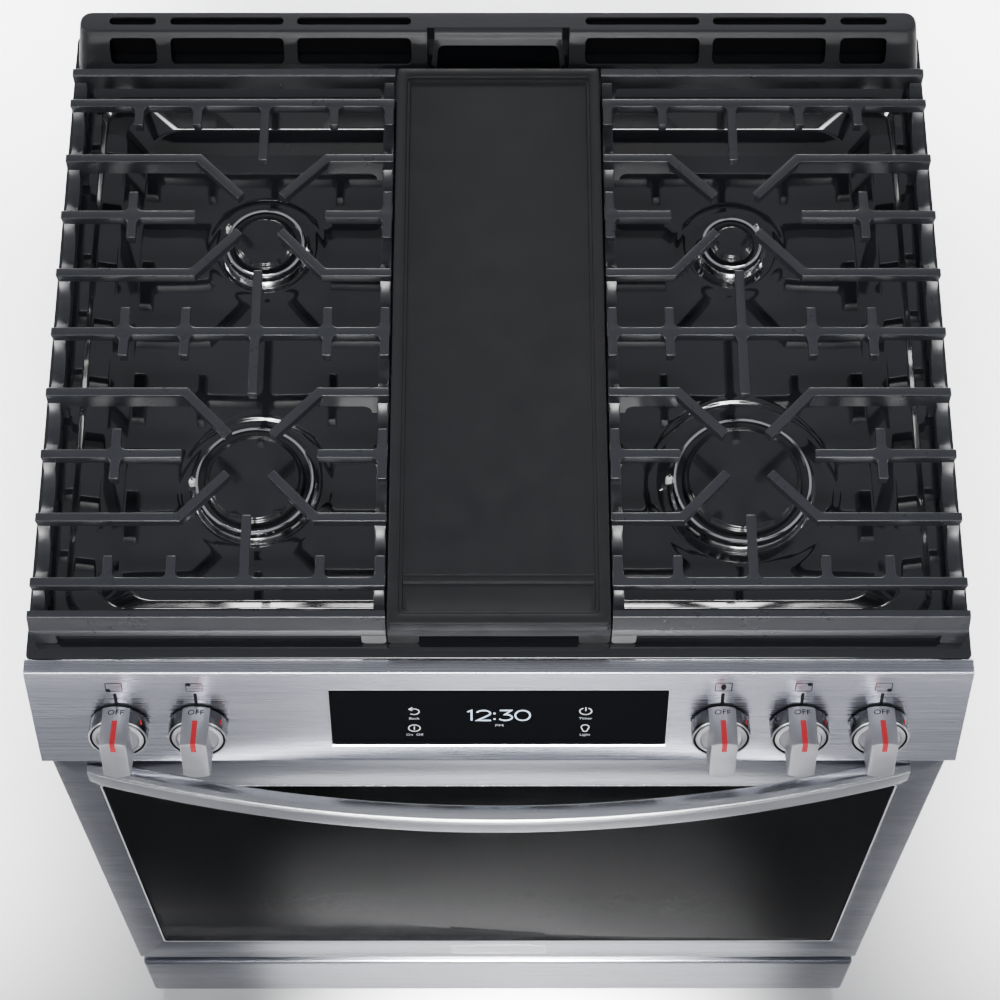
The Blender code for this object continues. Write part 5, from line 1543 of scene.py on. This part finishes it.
def rear_panel():
    """Galvanised back sheet with pressed beads, a gas inlet opening, louvres and screws."""
    low, high = span("rear_panel")
    sheet_y = high.y - 0.001
    bm = bmesh.new()
    extrude(bm, [(low.x, low.z), (high.x, low.z), (high.x, high.z), (low.x, high.z)], "y", low.y, sheet_y)
    cutter = bmesh.new()
    through = (low.y - 0.01, high.y + 0.01)
    extrude(cutter, rounded(0.06, -0.84, -0.76, 0.006, 4, -0.2), "y", *through)
    extrude(cutter, rounded(0.05, -0.355, -0.345, 0.004, 4), "y", *through)
    bm = boolean(bm, cutter, "DIFFERENCE")
    beads = ((0.33, -0.07), (0.33, -0.13), (0.33, -0.53), (0.33, -0.61), (0.33, -0.69))
    for half_x, z in beads:
        rings = []
        for shrink, y in ((0, sheet_y - 0.0004), (0, sheet_y), (0.003, high.y - 0.0002), (0.006, high.y)):
            ring = rounded(half_x - shrink, shrink - 0.009, 0.009 - shrink, 0.0089 - shrink)
            rings.append([(x, y, z + pz) for x, pz in ring])
        loft(bm, rings)
    for side in (-1, 1):
        for row in range(6):
            z = -0.21 - row * 0.018
            x = side * 0.21
            rings = []
            for shrink, y in ((0, sheet_y - 0.0004), (0.0004, sheet_y + 0.0002), (0.003, high.y)):
                ring = rounded(0.07 - shrink, 0.0012 - shrink, 0.0085 - shrink, 0.0025, 4, x)
                rings.append([(px, y, z + pz) for px, pz in ring])
            loft(bm, rings)
    finished("rear_sheet", bm, ZINC, "body", ["rear_panel"], 30)

    bm = bmesh.new()
    for side in (-1, 1):
        for row in range(7):
            z = low.z + 0.025 + row * (high.z - low.z - 0.05) / 6
            proud = high.y - sheet_y
            head = [(0.0042, -0.0004), (0.0042, 0.0004), (0.003, proud - 0.0001), (0.0012, proud)]
            turned(bm, head, 20, facing(side * 0.364, sheet_y, z, (0, 1, 0)))
    plate_z = -0.43
    ys, zs = (sheet_y - 0.0003, high.y - 0.0004), (plate_z - 0.035, plate_z + 0.035)
    rounded_box(bm, (-0.09, 0.03), ys, zs, 0.0003, 1, 1)
    finished("rear_screws_and_label", bm, [POLISHED, ALUMINIUM], "body", sharp=30)


def leveling_legs():
    """Moulded feet under a hexagon, on a threaded stud."""
    for name in ("front_left", "front_right", "rear_left", "rear_right"):
        low, high = span("leveling_leg_" + name)
        x, y = (low.x + high.x) / 2, (low.y + high.y) / 2
        bm = bmesh.new()
        at = Matrix.Translation((x, y, low.z))
        pad = [(0.0165, 0), (0.0178, 0.001), (0.018, 0.008), (0.0172, 0.0092), (0.012, 0.01)]
        turned(bm, pad, 32, at)
        turned(bm, [(0.0106, 0.0098), (0.011, 0.0112), (0.011, 0.0312), (0.0104, 0.032)], 6, at)
        stud = [(0.005, 0.03)]
        turn_height = 0.0014
        turns = 9
        for i in range(turns):
            z = 0.0318 + i * turn_height
            stud += [(0.005, z), (0.0059, z + turn_height / 2)]
        stud += [(0.005, 0.0318 + turns * turn_height), (0.0048, 0.0458)]
        turned(bm, stud, 24, at, index=1)
        finished("foot_" + name, bm, [PLASTIC, ZINC], "body", ["leveling_leg_" + name], 30)


# ---------------------------------------------------------------------------- carried-over nodes
def dress(material, *names):
    """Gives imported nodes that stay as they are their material."""
    for name in names:
        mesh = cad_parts[name].data
        mesh.materials.clear()
        mesh.materials.append(material)


def carried_over():
    """Materials of the nodes that no piece here replaces."""
    dress(ZINC, "base_pan", "gas_manifold", "pressure_regulator", "drawer_pan", "bake_burner", "fan_motor")
    dress(ZINC, "left_drawer_rail", "right_drawer_rail", "left_hinge_arm", "right_hinge_arm")
    dress(ZINC, *["valve_stem_" + name for name in KNOBS])
    dress(OVEN_ENAMEL, "oven_cavity", "front_frame", "fan_cover", "door_liner")
    dress(CHROME, "convection_fan", "broil_burner")
    dress(CLEAR_GLASS, "door_inner_glass", "oven_lamp")
    dress(ROPE, "door_gasket")
    dress(BOARD, "control_board")


# ---------------------------------------------------------------------------- stage
CAMERA_PLACE = (-0.0032, -1.03535, 2.81657)
CAMERA_RIGHT = (0.99999792, -0.00117823, 0.00166486)
CAMERA_UP = (0.00033867, 0.90085667, 0.43411651)
CAMERA_LENS = 92.84


def hang_camera():
    """The camera on the customer's side, looking steeply down."""
    scene = bpy.context.scene
    right, up = Vector(CAMERA_RIGHT), Vector(CAMERA_UP)
    turn = Matrix((right, up, right.cross(up))).transposed().to_4x4()
    data = bpy.data.cameras.new("camera")
    data.lens = CAMERA_LENS
    data.sensor_width = 36
    camera = bpy.data.objects.new("camera", data)
    camera.matrix_world = Matrix.Translation(CAMERA_PLACE) @ turn
    scene.collection.objects.link(camera)
    scene.camera = camera


def floor_and_sky():
    """A pale painted floor, and grey surroundings that darken to the back and lighten overhead."""
    scene = bpy.context.scene
    bm = bmesh.new()
    add(bm, [(-9, -9, 0), (9, -9, 0), (9, 9, 0), (-9, 9, 0)], [(0, 1, 2, 3)])
    mesh = bpy.data.meshes.new("studio_floor")
    bm.to_mesh(mesh)
    bm.free()
    mesh.materials.append(matt("studio_paint", (0.78, 0.78, 0.79), (0.82, 0.82, 0.83), (0.7, 0.8), 3.0, 0.0))
    floor = bpy.data.objects.new("studio_floor", mesh)
    scene.collection.objects.link(floor)

    world = bpy.data.worlds.new("studio")
    scene.world = world
    world.use_nodes = True
    place = wired(world, "ShaderNodeTexCoord")
    parts = wired(world, "ShaderNodeSeparateXYZ", Vector=place.outputs["Generated"])
    tones = []
    for axis, low, high, first, last in (
        ("Y", -1.0, 1.0, (0.52, 0.52, 0.53, 1), (0.27, 0.28, 0.31, 1)),
        ("Z", 0.25, 0.9, (0, 0, 0, 1), (1, 1, 1, 1)),
    ):
        reach = wired(world, "ShaderNodeMapRange", Value=parts.outputs[axis], From_Min=low, From_Max=high)
        shade = wired(world, "ShaderNodeValToRGB", Fac=reach.outputs["Result"])
        shade.color_ramp.elements[0].color = first
        shade.color_ramp.elements[1].color = last
        tones.append(shade.outputs["Color"])
    mix = wired(world, "ShaderNodeMix")
    mix.data_type = "RGBA"
    world.node_tree.links.new(tones[1], mix.inputs["Factor"])
    world.node_tree.links.new(tones[0], mix.inputs["A"])
    mix.inputs["B"].default_value = (0.36, 0.37, 0.4, 1)
    world.node_tree.links.new(mix.outputs["Result"], world.node_tree.nodes["Background"].inputs["Color"])


def soft_boxes():
    """Boxes pointed at the range, and straight-down ones that brighten the floor round it."""
    pointed = (
        ("above_customer", (0.0, -2.1, 3.4), (0.0, -0.2, 0.9), (1.6, 0.5), 22, 4),
        ("front_card", (0.0, -3.4, 2.1), (0.0, -0.3, 0.9), (3.6, 0.5), 22, 4.2),
        ("rim_card", (0.0, 3.9, 2.7), (0.0, 0.0, 0.92), (3.2, 0.6), 24, 7),
        ("left_box", (-2.4, 0.3, 2.2), (0.0, 0.0, 0.8), (0.5, 1.8), 26, 3),
        ("right_box", (2.4, 0.2, 2.0), (0.0, 0.0, 0.8), (0.35, 1.8), 26, 2),
        ("drawer_pool", (0.03, -1.1, 2.4), (0.03, -0.4, 0.0), (0.3, 0.06), 9, 5.5),
    )
    for box in pointed:
        hang_soft_box(*box)
    straight_down = (
        ("left", (-4.00, 3.00), (7.0, 6.6), 10, 15.0),
        ("right", (4.00, 3.00), (7.0, 6.6), 10, 15.0),
        ("back", (0.00, 3.6), (1.6, 5.6), 14, 12.5),
        ("left_front", (-4.3, -1.3), (6.3, 2.0), 12, 13.0),
        ("right_front", (4.3, -1.3), (6.3, 2.0), 12, 13.0),
        ("far", (0.00, -4.3), (14.0, 4.2), 14, 6.0),
        ("panel_pool", (0.06, -1.7), (0.3, 1.3), 15, 24.0),
    )
    for name, (x, y), size, beam, density in straight_down:
        power = density * size[0] * size[1]
        hang_soft_box("floor_" + name, (x, y, 2.6), (x, y, 0.0), size, beam, power)


def hang_soft_box(name, place, target, size, beam, power):
    """A rectangular soft box at a place, pointed at a target, with the beam's angle in degrees."""
    light = bpy.data.lights.new(name, "AREA")
    light.shape = "RECTANGLE"
    light.size, light.size_y = size
    light.spread = math.radians(beam)
    light.energy = power
    lamp = bpy.data.objects.new(name, light)
    turn = (Vector(target) - Vector(place)).to_track_quat("-Z", "Y").to_matrix().to_4x4()
    lamp.matrix_world = Matrix.Translation(place) @ turn
    bpy.context.scene.collection.objects.link(lamp)


control_panel()
marks_on_panel()
display()
knobs()
cooktop()
burners()
oval_burner()
grates()
griddle()
vent_trim()
door_skin()
door_window()
badge()
door_handle()
drawer_front()
oven_racks()
side_panels()
rear_panel()
leveling_legs()
carried_over()
hang_camera()
floor_and_sky()
soft_boxes()
